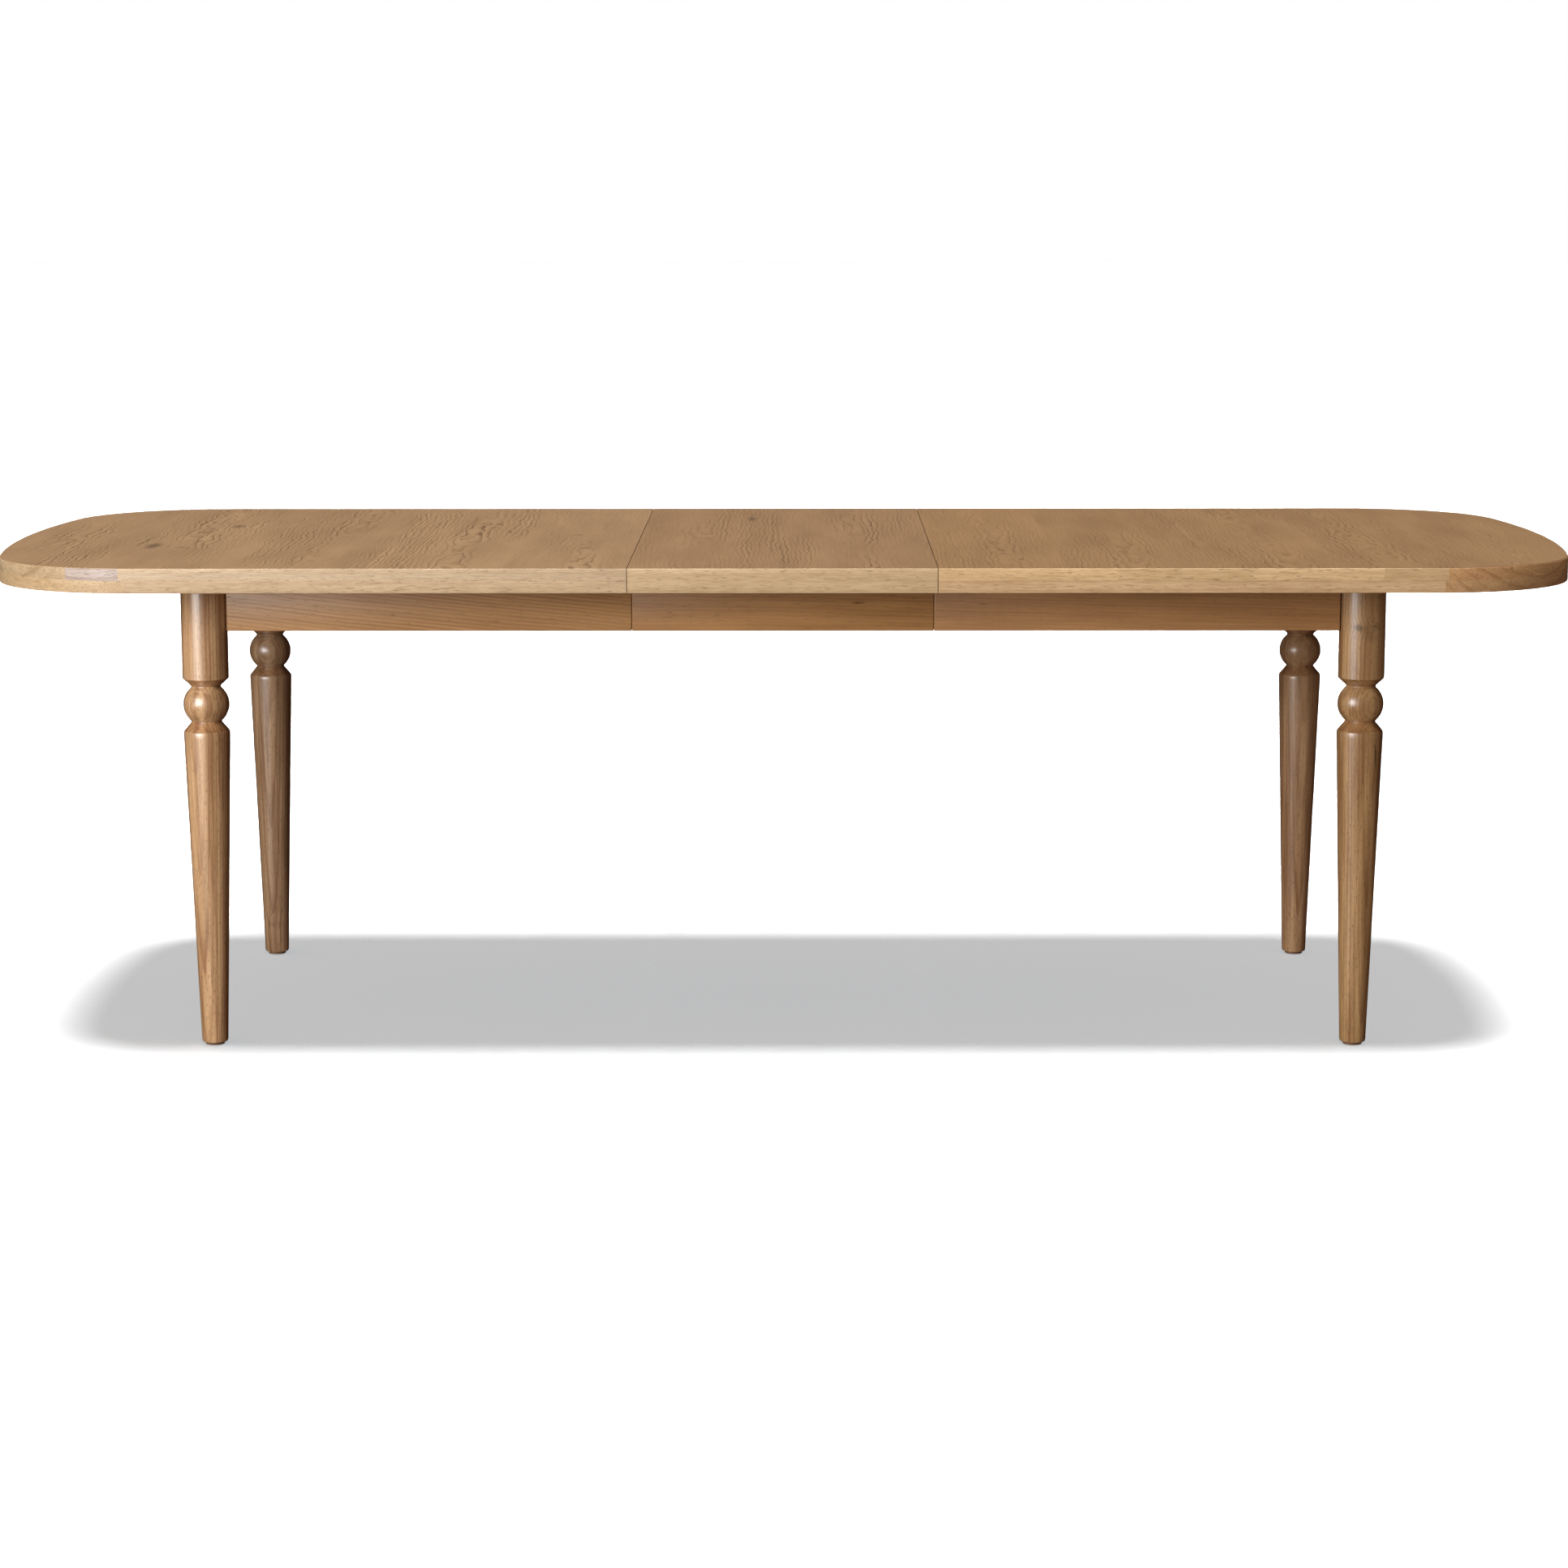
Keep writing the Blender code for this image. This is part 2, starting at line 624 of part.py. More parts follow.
def make_stud_plate(frame, name, x, y, plate):
    """A screwed-on plate with a headed stud riveted through it."""
    half_x, half_y = plate[0] / 2, plate[1] / 2
    plate_bottom = MOUNT_Z - PLATE_THICKNESS
    mesh = box_mesh((x - half_x, y - half_y, plate_bottom), (x + half_x, y + half_y, MOUNT_Z))
    obj = link(mesh, name, None, STEEL)
    keep_on(frame, obj)
    stud = rod_mesh((x, y, STUD_BOTTOM + GAP), (x, y, MOUNT_Z - PLATE_THICKNESS / 2), STUD_RADIUS)
    combine_in_world(obj, stud, "UNION")
    head_top = STUD_BOTTOM + STUD_HEAD_THICKNESS
    combine_in_world(obj, rod_mesh((x, y, STUD_BOTTOM), (x, y, head_top), STUD_HEAD_RADIUS), "UNION")


def combine_in_world(obj, mesh, operation):
    """Combine with a shape drawn in world coordinates, whatever the part's frame does."""
    mesh.transform(obj.parent.matrix_world.inverted())
    combine(obj, mesh, operation)


def keep_on(frame, obj):
    """Hang a part on a frame without moving it."""
    bpy.context.view_layer.update()
    obj.parent = frame
    obj.matrix_parent_inverse = frame.matrix_world.inverted()


def lever_outline(side):
    """A latch lever pointing to +X from its pivot; side is the side its slot opens on."""
    eye = arc((0, 0), LEVER_EYE_RADIUS, 90, 270, LEVER_ROUND_STEPS)
    pad_low = arc((LATCH_REACH, 0), LEVER_PAD_RADIUS, *LEVER_LOW_SHOULDER_DEG, LEVER_SHOULDER_STEPS)
    tip = arc((LEVER_TIP_X, 0), LEVER_TIP_RADIUS, -90, 90, LEVER_ROUND_STEPS)
    pad_high = arc((LATCH_REACH, 0), LEVER_PAD_RADIUS, *LEVER_HIGH_SHOULDER_DEG, LEVER_SHOULDER_STEPS)
    return [(x, side * y) for x, y in eye + pad_low + tip + pad_high][::side]


def slot_outline(side):
    """The slot that the keeper's stud enters: an arc about the pivot with a round end."""
    outer = arc((0, 0), LATCH_REACH + LEVER_SLOT_HALF_WIDTH, 0, LEVER_SLOT_TURN_DEG, LEVER_SLOT_STEPS)
    inner = arc((0, 0), LATCH_REACH - LEVER_SLOT_HALF_WIDTH, LEVER_SLOT_TURN_DEG, 0, LEVER_SLOT_STEPS)
    end = arc((LATCH_REACH, 0), LEVER_SLOT_HALF_WIDTH, 180, 360, LEVER_ROUND_STEPS)[1:-1]
    return [(x, side * y) for x, y in outer + inner + end][::side]


def make_latch(frame, prefix, pivot_x, side):
    """A latch lever on its plate, open and lying along the seam; side is +1 for the rear one."""
    y = side * LATCH_Y
    make_stud_plate(frame, prefix + "_latch_plate", pivot_x, y, LATCH_PLATE)
    blank = plate_mesh(lever_outline(-side), LEVER_BOTTOM, LEVER_TOP)
    lever = link(blank, prefix + "_latch_lever", None, STEEL)
    lever.location = (pivot_x, y, 0)
    lever.rotation_euler.z = side * math.pi / 2
    keep_on(frame, lever)
    bpy.context.view_layer.update()
    low, high = LEVER_BOTTOM - PLATE_THICKNESS, LEVER_TOP + PLATE_THICKNESS
    slot = plate_mesh(slot_outline(-side), low, high)
    slot.transform(lever.matrix_world)
    combine_in_world(lever, slot, "DIFFERENCE")
    eye = rod_mesh((pivot_x, y, low), (pivot_x, y, high), STUD_RADIUS + GAP)
    combine_in_world(lever, eye, "DIFFERENCE")


def make_centre():
    """The centre of the slides: two beams, the bridge board, the axle with its clip, and the pinion."""
    frame = make_frame("centre_frame")
    for side, where in ((-1, "front"), (1, "rear")):
        mesh = bar_mesh(beam_section(side * BEAM_Y), -BEAM_HALF_LENGTH, BEAM_HALF_LENGTH)
        link(mesh, where + "_centre_beam", frame, SLIDE_WOOD)
    bridge_mesh = box_mesh(
        (-BRIDGE_HALF_LENGTH, -BRIDGE_HALF_WIDTH, BRIDGE_BOTTOM),
        (BRIDGE_HALF_LENGTH, BRIDGE_HALF_WIDTH, BEAM_BOTTOM - GAP),
    )
    bridge = link(bridge_mesh, "bridge_board", frame, SLIDE_WOOD)
    soften(bridge, RAIL_ARRIS)
    axle_bore_ends = ((0, 0, BRIDGE_BOTTOM - GAP), (0, 0, BEAM_TOP))
    combine(bridge, rod_mesh(*axle_bore_ends, AXLE_RADIUS + GAP), "DIFFERENCE")

    head_top = BRIDGE_BOTTOM - GAP
    axle_profile = [
        (0, AXLE_TOP),
        (AXLE_RADIUS, AXLE_TOP),
        (AXLE_RADIUS, CLIP_GROOVE_TOP),
        (CLIP_GROOVE_RADIUS, CLIP_GROOVE_TOP),
        (CLIP_GROOVE_RADIUS, CLIP_GROOVE_BOTTOM),
        (AXLE_RADIUS, CLIP_GROOVE_BOTTOM),
        (AXLE_RADIUS, head_top),
        (AXLE_HEAD_RADIUS, head_top),
        (AXLE_HEAD_RADIUS, head_top - AXLE_HEAD_THICKNESS),
        (0, head_top - AXLE_HEAD_THICKNESS),
    ]
    axle = link(profile_mesh(axle_profile), "pinion_axle", frame, STEEL)
    turn_profile(axle, ROUND_STEPS)

    clip_outline = arc((0, 0), CLIP_RADIUS, CLIP_MOUTH_DEG, 360 - CLIP_MOUTH_DEG, ROUND_STEPS)
    clip_bore = CLIP_GROOVE_RADIUS + GAP
    clip_outline += arc((0, 0), clip_bore, 360 - CLIP_MOUTH_DEG, CLIP_MOUTH_DEG, ROUND_STEPS)
    clip_middle = (CLIP_GROOVE_BOTTOM + CLIP_GROOVE_TOP) / 2
    clip_bottom = clip_middle - CLIP_THICKNESS / 2
    clip_mesh = plate_mesh(clip_outline, clip_bottom, clip_bottom + CLIP_THICKNESS)
    link(clip_mesh, "pinion_clip", frame, STEEL)

    pinion_mesh = plate_mesh(pinion_outline(), PINION_BOTTOM, PINION_TOP)
    pinion = link(pinion_mesh, "equalizer_pinion", None, NYLON)
    keep_on(frame, pinion)
    hub_top = (PINION_BOTTOM + PINION_TOP) / 2
    combine_in_world(pinion, rod_mesh((0, 0, BEAM_BOTTOM), (0, 0, hub_top), HUB_RADIUS), "UNION")
    combine_in_world(pinion, rod_mesh(*axle_bore_ends, AXLE_RADIUS + GAP), "DIFFERENCE")


def build():
    """Assemble the table."""
    left = make_half(math.pi, "left", "rear", "front")
    right = make_half(0.0, "right", "front", "rear")
    leaf = make_leaf()
    make_centre()
    bpy.context.view_layer.update()
    keeper_x = SEAM_X + LATCH_REACH - LATCH_BACKSET
    for side, where in ((-1, "front"), (1, "rear")):
        make_latch(left, "left_" + where, -SEAM_X - LATCH_BACKSET, side)
        make_latch(leaf, "leaf_" + where, SEAM_X - LATCH_BACKSET, side)
        leaf_keeper_x = -SEAM_X - LATCH_BACKSET + LATCH_REACH
        make_stud_plate(leaf, f"leaf_{where}_keeper", leaf_keeper_x, side * LATCH_Y, KEEPER_PLATE)
        make_stud_plate(right, f"right_{where}_keeper", keeper_x, side * LATCH_Y, KEEPER_PLATE)


build()
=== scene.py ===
"""Looks of the extendable dining table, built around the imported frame. Metres, +Z up, front at -Y."""

import math
import random

import bmesh
import bpy
from mathutils import Matrix, Vector


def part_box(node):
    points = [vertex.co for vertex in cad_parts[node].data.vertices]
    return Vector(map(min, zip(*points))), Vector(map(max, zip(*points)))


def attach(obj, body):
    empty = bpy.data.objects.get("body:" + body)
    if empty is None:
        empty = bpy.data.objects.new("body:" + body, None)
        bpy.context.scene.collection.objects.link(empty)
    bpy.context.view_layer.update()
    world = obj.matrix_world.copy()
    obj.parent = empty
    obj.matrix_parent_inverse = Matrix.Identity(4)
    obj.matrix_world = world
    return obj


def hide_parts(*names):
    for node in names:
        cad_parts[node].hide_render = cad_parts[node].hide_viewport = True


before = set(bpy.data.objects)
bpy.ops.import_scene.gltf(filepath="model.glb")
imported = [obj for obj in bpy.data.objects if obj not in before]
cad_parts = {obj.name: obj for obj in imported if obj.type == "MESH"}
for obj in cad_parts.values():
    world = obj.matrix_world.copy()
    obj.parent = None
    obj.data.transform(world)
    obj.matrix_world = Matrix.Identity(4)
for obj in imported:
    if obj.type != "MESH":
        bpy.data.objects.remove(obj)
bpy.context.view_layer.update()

# Camera: a long lens, a little above the top, almost square to the front
CAMERA_PLACE = (0.0251, -5.8486, 1.304)
CAMERA_YAW = -0.247
CAMERA_PITCH = 9.254
CAMERA_ROLL = -0.059
CAMERA_LENS = 83.77
SENSOR = 36.0
FARTHEST = 200.0

# The top's outline, as in the solids
END_BOW_RADIUS = 2.05
CORNER_RADIUS = 0.230
CORNER_STEPS = 32
BOW_STEPS = 24

# Build-up of the top
VENEER = 0.0006
VENEER_INSET = 0.0009
EDGE_DEPTH = 0.045
EDGE_ROUND = 0.0012
ROUND_STEPS = 3
LAYER_LINE = 0.00012

# Where the edge strips butt, as distances along the edge: from the start seam, then from the end seam.
# The left half is the right half turned round, so its front comes second.
CORNER_START = 0.742
EDGE_JOINTS = {
    ("left", "upper"): ((0.36, 0.752), (0.748, 0.832)),
    ("left", "lower"): ((0.745,), (0.740,)),
    ("right", "upper"): ((0.263, 0.462, 0.655, 0.750), (0.31, 0.752)),
    ("right", "lower"): ((0.745,), (0.40, 0.744)),
}
# The end blocks' joints: past the first corner, before the middle of the end, before the second corner
END_BLOCKS = (0.02, 0.06, 0.03)

VENEER_WIDTH = 0.19
STAVE_WIDTH = 0.085
RAIL_ROUND = 0.0015
TONE_STEP = 0.10
VENEER_STEP = 0.03
SEAM_EASE = 0.0003

# Turned leg, in height above the floor and radius
LEG_STEPS = 112
LEG_RADIUS = 0.035
FOOT_RADIUS = 0.020
UPPER_NECK_RADIUS = 0.0220
LOWER_NECK_RADIUS = 0.0228
UPPER_RING_RADIUS = 0.0227
LOWER_RING_RADIUS = 0.0233
BALL_Z = 0.5305
BALL_RADIUS = 0.0349
BALL_HALF_HEIGHT = 0.0340
BALL_STEPS = 30
TURNING_TOP = 0.6
TAPER_TOP = 0.480
FOOT_EDGE = 0.0036
REAR_BEAD_DROP = 0.0027

# The turning above and below the ball, as (radius, height), from the top down
ABOVE_BALL = (
    (LEG_RADIUS, 0.5710), (LEG_RADIUS - 0.0004, 0.5703), (UPPER_RING_RADIUS + 0.0006, 0.5599),
    (UPPER_NECK_RADIUS + 0.0001, 0.5593), (UPPER_NECK_RADIUS + 0.0001, 0.5589),
    (UPPER_RING_RADIUS - 0.0003, 0.5587), (UPPER_RING_RADIUS, 0.5578), (UPPER_RING_RADIUS - 0.0002, 0.5571),
)
BELOW_BALL = (
    (LOWER_RING_RADIUS - 0.0002, 0.5042), (LOWER_RING_RADIUS, 0.5036), (LOWER_RING_RADIUS - 0.0002, 0.5030),
    (LOWER_RING_RADIUS + 0.0002, 0.5027), (LEG_RADIUS - 0.0010, 0.4903), (LEG_RADIUS - 0.0003, 0.4890),
    (LEG_RADIUS, 0.4876),
)

# Painted shade in the necks: between these heights the wood's colour is darkened by these gains, standing in
# for the shade that falls in the turning's recesses
NECKS = ((0.5585, 0.5700), (0.4910, 0.5045))
NECK_PAINTED_SHADE = (0.86, 0.76, 0.68)

# Holes at the seams for the alignment pins
PIN_PLAY = 0.0003
BORE_DEPTH = 0.022
POCKET_HALF_WIDTH = 0.0046
POCKET_LENGTH = 0.020
HOLE_STEPS = 32

# Screws: heads that stand up from wood, and flush ones in the latch plates
HEAD_RADIUS = 0.0040
HEAD_HEIGHT = 0.0016
FLUSH_RADIUS = 0.0030
FLUSH_HEIGHT = 0.00012
RECESS_LENGTH = 0.0046
RECESS_WIDTH = 0.0009
PLATE_FACE_Z = 0.7155

# Light. A sun's direction is given as degrees to the right of straight ahead and above level.
KEY_PLACE = (-2.4, -3.05, 1.30)
KEY_TARGET = (0.2, -0.2, 0.55)
KEY_SIZE = (2.0, 1.8)
KEY_POWER = 122.0
WINDOW_DIRECTION = (-24.0, 11.0)
WINDOW_SPREAD = 40.0
WINDOW_POWER = 1.5
BACK_DIRECTION = (170.0, 25.0)
BACK_SPREAD = 70.0
BACK_POWER = 0.25
OVERHEAD_DIRECTION = (0.0, 86.0)
OVERHEAD_SPREAD = 20.0
OVERHEAD_POWER = 3.0
FLOOR_WASH_POWER = 2.4
SURROUND_FILL = 0.22
SURROUND_WARMTH = (1.0, 0.67, 0.47)
FLOOR_WHITE = 1.0
FLOOR_GLOW = (0.37, 0.430, 0.467)
FLOOR_HALF_SIZE = 60.0

# Steel has nothing around it to reflect here, so fully metallic it would look black from below
STEEL_METALLIC = 0.45


# ---------------------------------------------------------------- node graphs


class Graph:
    """Shader nodes of one material, added by short calls."""

    def __init__(self, name):
        self.material = bpy.data.materials.new(name)
        self.material.use_nodes = True
        self.tree = self.material.node_tree
        self.shader = self.tree.nodes["Principled BSDF"]

    def put(self, socket, value):
        """Set a socket to a number, or link it to another socket."""
        if isinstance(value, bpy.types.NodeSocket):
            self.tree.links.new(value, socket)
        else:
            socket.default_value = value

    def node(self, kind, **settings):
        made = self.tree.nodes.new(kind)
        for name, value in settings.items():
            setattr(made, name, value)
        return made

    def math(self, operation, *values):
        made = self.node("ShaderNodeMath", operation=operation)
        for socket, value in zip(made.inputs, values):
            self.put(socket, value)
        return made.outputs[0]

    def vector(self, operation, *values):
        made = self.node("ShaderNodeVectorMath", operation=operation)
        for socket, value in zip(made.inputs, values):
            self.put(socket, value)
        return made.outputs["Value"] if operation in ("LENGTH", "DOT_PRODUCT") else made.outputs[0]

    def noise(self, vector, detail=2.0, roughness=0.5, output="Factor"):
        made = self.node("ShaderNodeTexNoise", noise_dimensions="3D")
        self.put(made.inputs["Vector"], vector)
        made.inputs["Scale"].default_value = 1.0
        made.inputs["Detail"].default_value = detail
        made.inputs["Roughness"].default_value = roughness
        return made.outputs[0 if output == "Factor" else "Color"]

    def stretch(self, value, low, high, to_low=0.0, to_high=1.0, smooth=False):
        """Map a range onto another, clamped."""
        made = self.node("ShaderNodeMapRange", clamp=True)
        made.interpolation_type = "SMOOTHSTEP" if smooth else "LINEAR"
        for socket, number in zip(made.inputs, (value, low, high, to_low, to_high)):
            self.put(socket, number)
        return made.outputs[0]

    def mix(self, factor, first, second, blend="MIX"):
        made = self.node("ShaderNodeMix", data_type="RGBA", blend_type=blend)
        self.put(made.inputs["Factor"], factor)
        for name, value in (("A", first), ("B", second)):
            socket = [s for s in made.inputs if s.name == name and s.type == "RGBA"][0]
            self.put(socket, (*value, 1.0) if isinstance(value, tuple) else value)
        return [s for s in made.outputs if s.type == "RGBA"][0]

    def split(self, vector):
        made = self.node("ShaderNodeSeparateXYZ")
        self.put(made.inputs[0], vector)
        return made.outputs[0], made.outputs[1], made.outputs[2]

    def join(self, *values):
        made = self.node("ShaderNodeCombineXYZ")
        for socket, value in zip(made.inputs, values):
            self.put(socket, value)
        return made.outputs[0]

    def attribute(self, name, output):
        return self.node("ShaderNodeAttribute", attribute_name=name).outputs[output]

    def bump(self, height, distance):
        made = self.node("ShaderNodeBump")
        made.inputs["Distance"].default_value = distance
        made.inputs["Strength"].default_value = 1.0
        self.put(made.inputs["Height"], height)
        self.put(self.shader.inputs["Normal"], made.outputs[0])


GRAIN_AXES = {"X": (0, 1, 2), "Y": (1, 2, 0), "Z": (2, 0, 1)}


def grain_vector(graph, axis, offset):
    """Wood coordinates: along the grain first. They come from a board's own attribute or from an axis."""
    if axis is None:
        return graph.attribute("grain", "Vector")
    place = graph.node("ShaderNodeTexCoord").outputs["Object"]
    parts = graph.split(place)
    turned = graph.join(*(parts[i] for i in GRAIN_AXES[axis]))
    return graph.vector("ADD", turned, offset)


def wood(
    name, light, dark, pore_color=(0.03, 0.015, 0.008), spacing=0.009, ring=0.6, line=(0.55, 0.93), rim=0.0,
    sway=0.010, sway_scale=(1.6, 7.0, 7.0), wiggle=0.0015, wiggle_scale=(16.0, 60.0, 60.0), patches=None,
    streak=0.35, streak_scale=(7.0, 320.0, 320.0), band=0.0, mottle=0.4, mottle_scale=(3.0, 16.0, 16.0),
    pores=0.5, pore_size=(0.008, 0.0009), pore_share=0.64, roughness=0.42, coat=0.12, coat_roughness=0.30,
    coat_ior=1.5, relief=0.00015, axis=None, offset=(0, 0.06, 0.03), knots=(), cracks=(),
):
    """Solid wood: growth rings about a trunk axis, fibre streaks, pores, mottling, knots and cracks."""
    graph = Graph(name)
    place = graph.node("ShaderNodeTexCoord").outputs["Object"]
    grain = grain_vector(graph, axis, offset)
    half = (0.5,) * 3
    slow = graph.noise(graph.vector("MULTIPLY", grain, sway_scale), 2.0, 0.5, "Color")
    slow = graph.vector("MULTIPLY", graph.vector("SUBTRACT", slow, half), (0.0, sway, sway))
    quick = graph.noise(graph.vector("MULTIPLY", grain, wiggle_scale), 3.0, 0.55, "Color")
    quick = graph.vector("MULTIPLY", graph.vector("SUBTRACT", quick, half), (0.0, wiggle, wiggle))
    bent = graph.vector("ADD", graph.vector("ADD", grain, slow), quick)
    radius = graph.vector("LENGTH", graph.vector("MULTIPLY", bent, (0.0, 1.0, 1.0)))

    flaws = None
    for center, size, push, darkness in knots:
        away = graph.vector("DIVIDE", graph.vector("SUBTRACT", place, center), size)
        wobble = graph.noise(graph.vector("MULTIPLY", place, (90.0,) * 3), 3.0, 0.6)
        wobble = graph.stretch(wobble, 0.3, 0.7, -0.35, 0.35)
        distance = graph.math("ADD", graph.vector("LENGTH", away), wobble)
        bulge = graph.stretch(distance, 0.0, 4.5, push, 0.0, smooth=True)
        radius = graph.math("ADD", radius, bulge)
        spot = graph.stretch(distance, 0.15, 1.5, darkness, 0.0, smooth=True)
        flaws = spot if flaws is None else graph.math("MAXIMUM", flaws, spot)
    for center, size, darkness in cracks:
        jitter = graph.noise(graph.vector("MULTIPLY", place, (70.0,) * 3), 2.0, 0.5, "Color")
        jitter = graph.vector("MULTIPLY", graph.vector("SUBTRACT", jitter, half), (0.006, 0.006, 0.002))
        moved = graph.vector("ADD", graph.vector("SUBTRACT", place, center), jitter)
        distance = graph.vector("LENGTH", graph.vector("DIVIDE", moved, size))
        slit = graph.stretch(distance, 0.4, 1.0, darkness, 0.0, smooth=True)
        flaws = slit if flaws is None else graph.math("MAXIMUM", flaws, slit)

    phase = graph.math("DIVIDE", radius, spacing)
    saw = graph.math("FRACT", phase)
    rise = graph.stretch(saw, line[0], line[1], smooth=True)
    fall = graph.stretch(saw, line[1], 1.0, 1.0, 0.0, smooth=True)
    late = graph.math("MULTIPLY", rise, fall)
    turn = graph.join(graph.math("FLOOR", phase), 0.0, 0.0)
    strength = graph.stretch(graph.noise(graph.vector("MULTIPLY", turn, (0.37,) * 3)), 0.35, 0.65, 0.25, 1.0)
    if patches is not None:
        patch = graph.noise(graph.vector("MULTIPLY", grain, patches), 2.0)
        strength = graph.math("MULTIPLY", strength, graph.stretch(patch, 0.43, 0.57, 0.12, 1.0))
    if axis is None:
        strength = graph.math("MULTIPLY", strength, graph.attribute("figure", 2))
    late = graph.math("MULTIPLY", late, strength)

    fibre = graph.noise(graph.vector("MULTIPLY", grain, streak_scale), 3.0, 0.6)
    fibre = graph.stretch(fibre, 0.3, 0.7)
    cloud = graph.noise(graph.vector("MULTIPLY", grain, mottle_scale), 3.0, 0.55)
    cloud = graph.stretch(cloud, 0.3, 0.7)
    pore_scale = (1.0 / pore_size[0], 1.0 / pore_size[1], 1.0 / pore_size[1])
    pore = graph.noise(graph.vector("MULTIPLY", grain, pore_scale), 1.0, 0.5)
    pore = graph.stretch(pore, pore_share, pore_share + 0.08)
    pore = graph.math("MULTIPLY", pore, graph.stretch(saw, 0.0, 0.8, 1.0, 0.45))

    depth = graph.math("MULTIPLY", late, ring)
    depth = graph.math("MULTIPLY_ADD", fibre, streak, depth)
    depth = graph.math("MULTIPLY_ADD", cloud, mottle, depth)
    if band:
        wide = graph.noise(graph.vector("MULTIPLY", bent, (2.0, 75.0, 75.0)), 2.0, 0.5)
        depth = graph.math("MULTIPLY_ADD", graph.stretch(wide, 0.35, 0.65), band, depth)
    color = graph.mix(graph.math("MINIMUM", depth, 1.0), light, dark)
    if rim:
        lit = graph.math("MULTIPLY", graph.stretch(saw, 0.0, 0.12), graph.stretch(saw, 0.15, 0.5, 1.0, 0.0))
        lit = graph.math("MULTIPLY", graph.math("MULTIPLY", lit, strength), rim)
        color = graph.mix(lit, color, tuple(min(1.0, 1.35 * c) for c in light))
    color = graph.mix(graph.math("MULTIPLY", pore, pores), color, pore_color)
    if flaws is not None:
        color = graph.mix(flaws, color, pore_color)
    if axis is None:
        color = graph.mix(1.0, color, graph.attribute("tint", "Color"), "MULTIPLY")
    graph.put(graph.shader.inputs["Base Color"], color)
    rough = graph.math("MULTIPLY_ADD", fibre, 0.08, roughness - 0.04)
    rough = graph.math("MULTIPLY_ADD", pore, 0.15, rough)
    graph.put(graph.shader.inputs["Roughness"], rough)
    graph.shader.inputs["Coat Weight"].default_value = coat
    graph.shader.inputs["Coat Roughness"].default_value = coat_roughness
    graph.shader.inputs["Coat IOR"].default_value = coat_ior
    height = graph.math("MULTIPLY_ADD", pore, -1.0, graph.math("MULTIPLY", late, -0.35))
    graph.bump(height, relief)
    return graph.material


def floor_paint():
    """The floor's paint: matt white with a glow of its own, so that shadows on it stay pale."""
    graph = Graph("floor_paint")
    graph.shader.inputs["Base Color"].default_value = (FLOOR_WHITE, FLOOR_WHITE, FLOOR_WHITE, 1.0)
    graph.shader.inputs["Roughness"].default_value = 1.0
    graph.shader.inputs["Specular IOR Level"].default_value = 0.0
    graph.shader.inputs["Emission Color"].default_value = (*FLOOR_GLOW, 1.0)
    graph.shader.inputs["Emission Strength"].default_value = 1.0
    return graph.material


def metal(name, color, roughness, grit=0.0008):
    """Zinc-plated steel: a fine, uneven, slightly cloudy satin."""
    graph = Graph(name)
    place = graph.node("ShaderNodeTexCoord").outputs["Object"]
    fine = graph.noise(graph.vector("MULTIPLY", place, (1.0 / grit,) * 3), 2.0)
    cloud = graph.noise(graph.vector("MULTIPLY", place, (90.0,) * 3), 3.0)
    darker = tuple(0.72 * c for c in color)
    graph.put(graph.shader.inputs["Base Color"], graph.mix(graph.stretch(cloud, 0.35, 0.65), color, darker))
    rough = graph.stretch(fine, 0.3, 0.7, roughness - 0.08, roughness + 0.1)
    graph.put(graph.shader.inputs["Roughness"], rough)
    graph.shader.inputs["Metallic"].default_value = STEEL_METALLIC
    graph.bump(fine, 0.00002)
    return graph.material


def nylon(name, color, roughness):
    """Moulded nylon: even colour with a faint cloud and a fine moulded texture."""
    graph = Graph(name)
    place = graph.node("ShaderNodeTexCoord").outputs["Object"]
    fine = graph.noise(graph.vector("MULTIPLY", place, (2600.0,) * 3), 2.0)
    cloud = graph.noise(graph.vector("MULTIPLY", place, (70.0,) * 3), 2.0)
    darker = tuple(0.85 * c for c in color)
    graph.put(graph.shader.inputs["Base Color"], graph.mix(graph.stretch(cloud, 0.3, 0.7), color, darker))
    rough = graph.stretch(fine, 0.3, 0.7, roughness - 0.05, roughness + 0.08)
    graph.put(graph.shader.inputs["Roughness"], rough)
    graph.shader.inputs["Subsurface Weight"].default_value = 0.05
    graph.bump(fine, 0.00003)
    return graph.material


# ---------------------------------------------------------------- wood looks

TOP_LIGHT = (0.418, 0.263, 0.139)
TOP_DARK = (0.165, 0.090, 0.041)
EDGE_LIGHT = (0.555, 0.405, 0.235)
EDGE_DARK = (0.330, 0.212, 0.105)
APRON_LIGHT = (0.425, 0.240, 0.105)
APRON_DARK = (0.225, 0.104, 0.038)
LEG_LIGHT = (0.550, 0.335, 0.170)
LEG_DARK = (0.225, 0.105, 0.044)
BEECH_LIGHT = (0.56, 0.40, 0.25)
BEECH_DARK = (0.40, 0.26, 0.14)

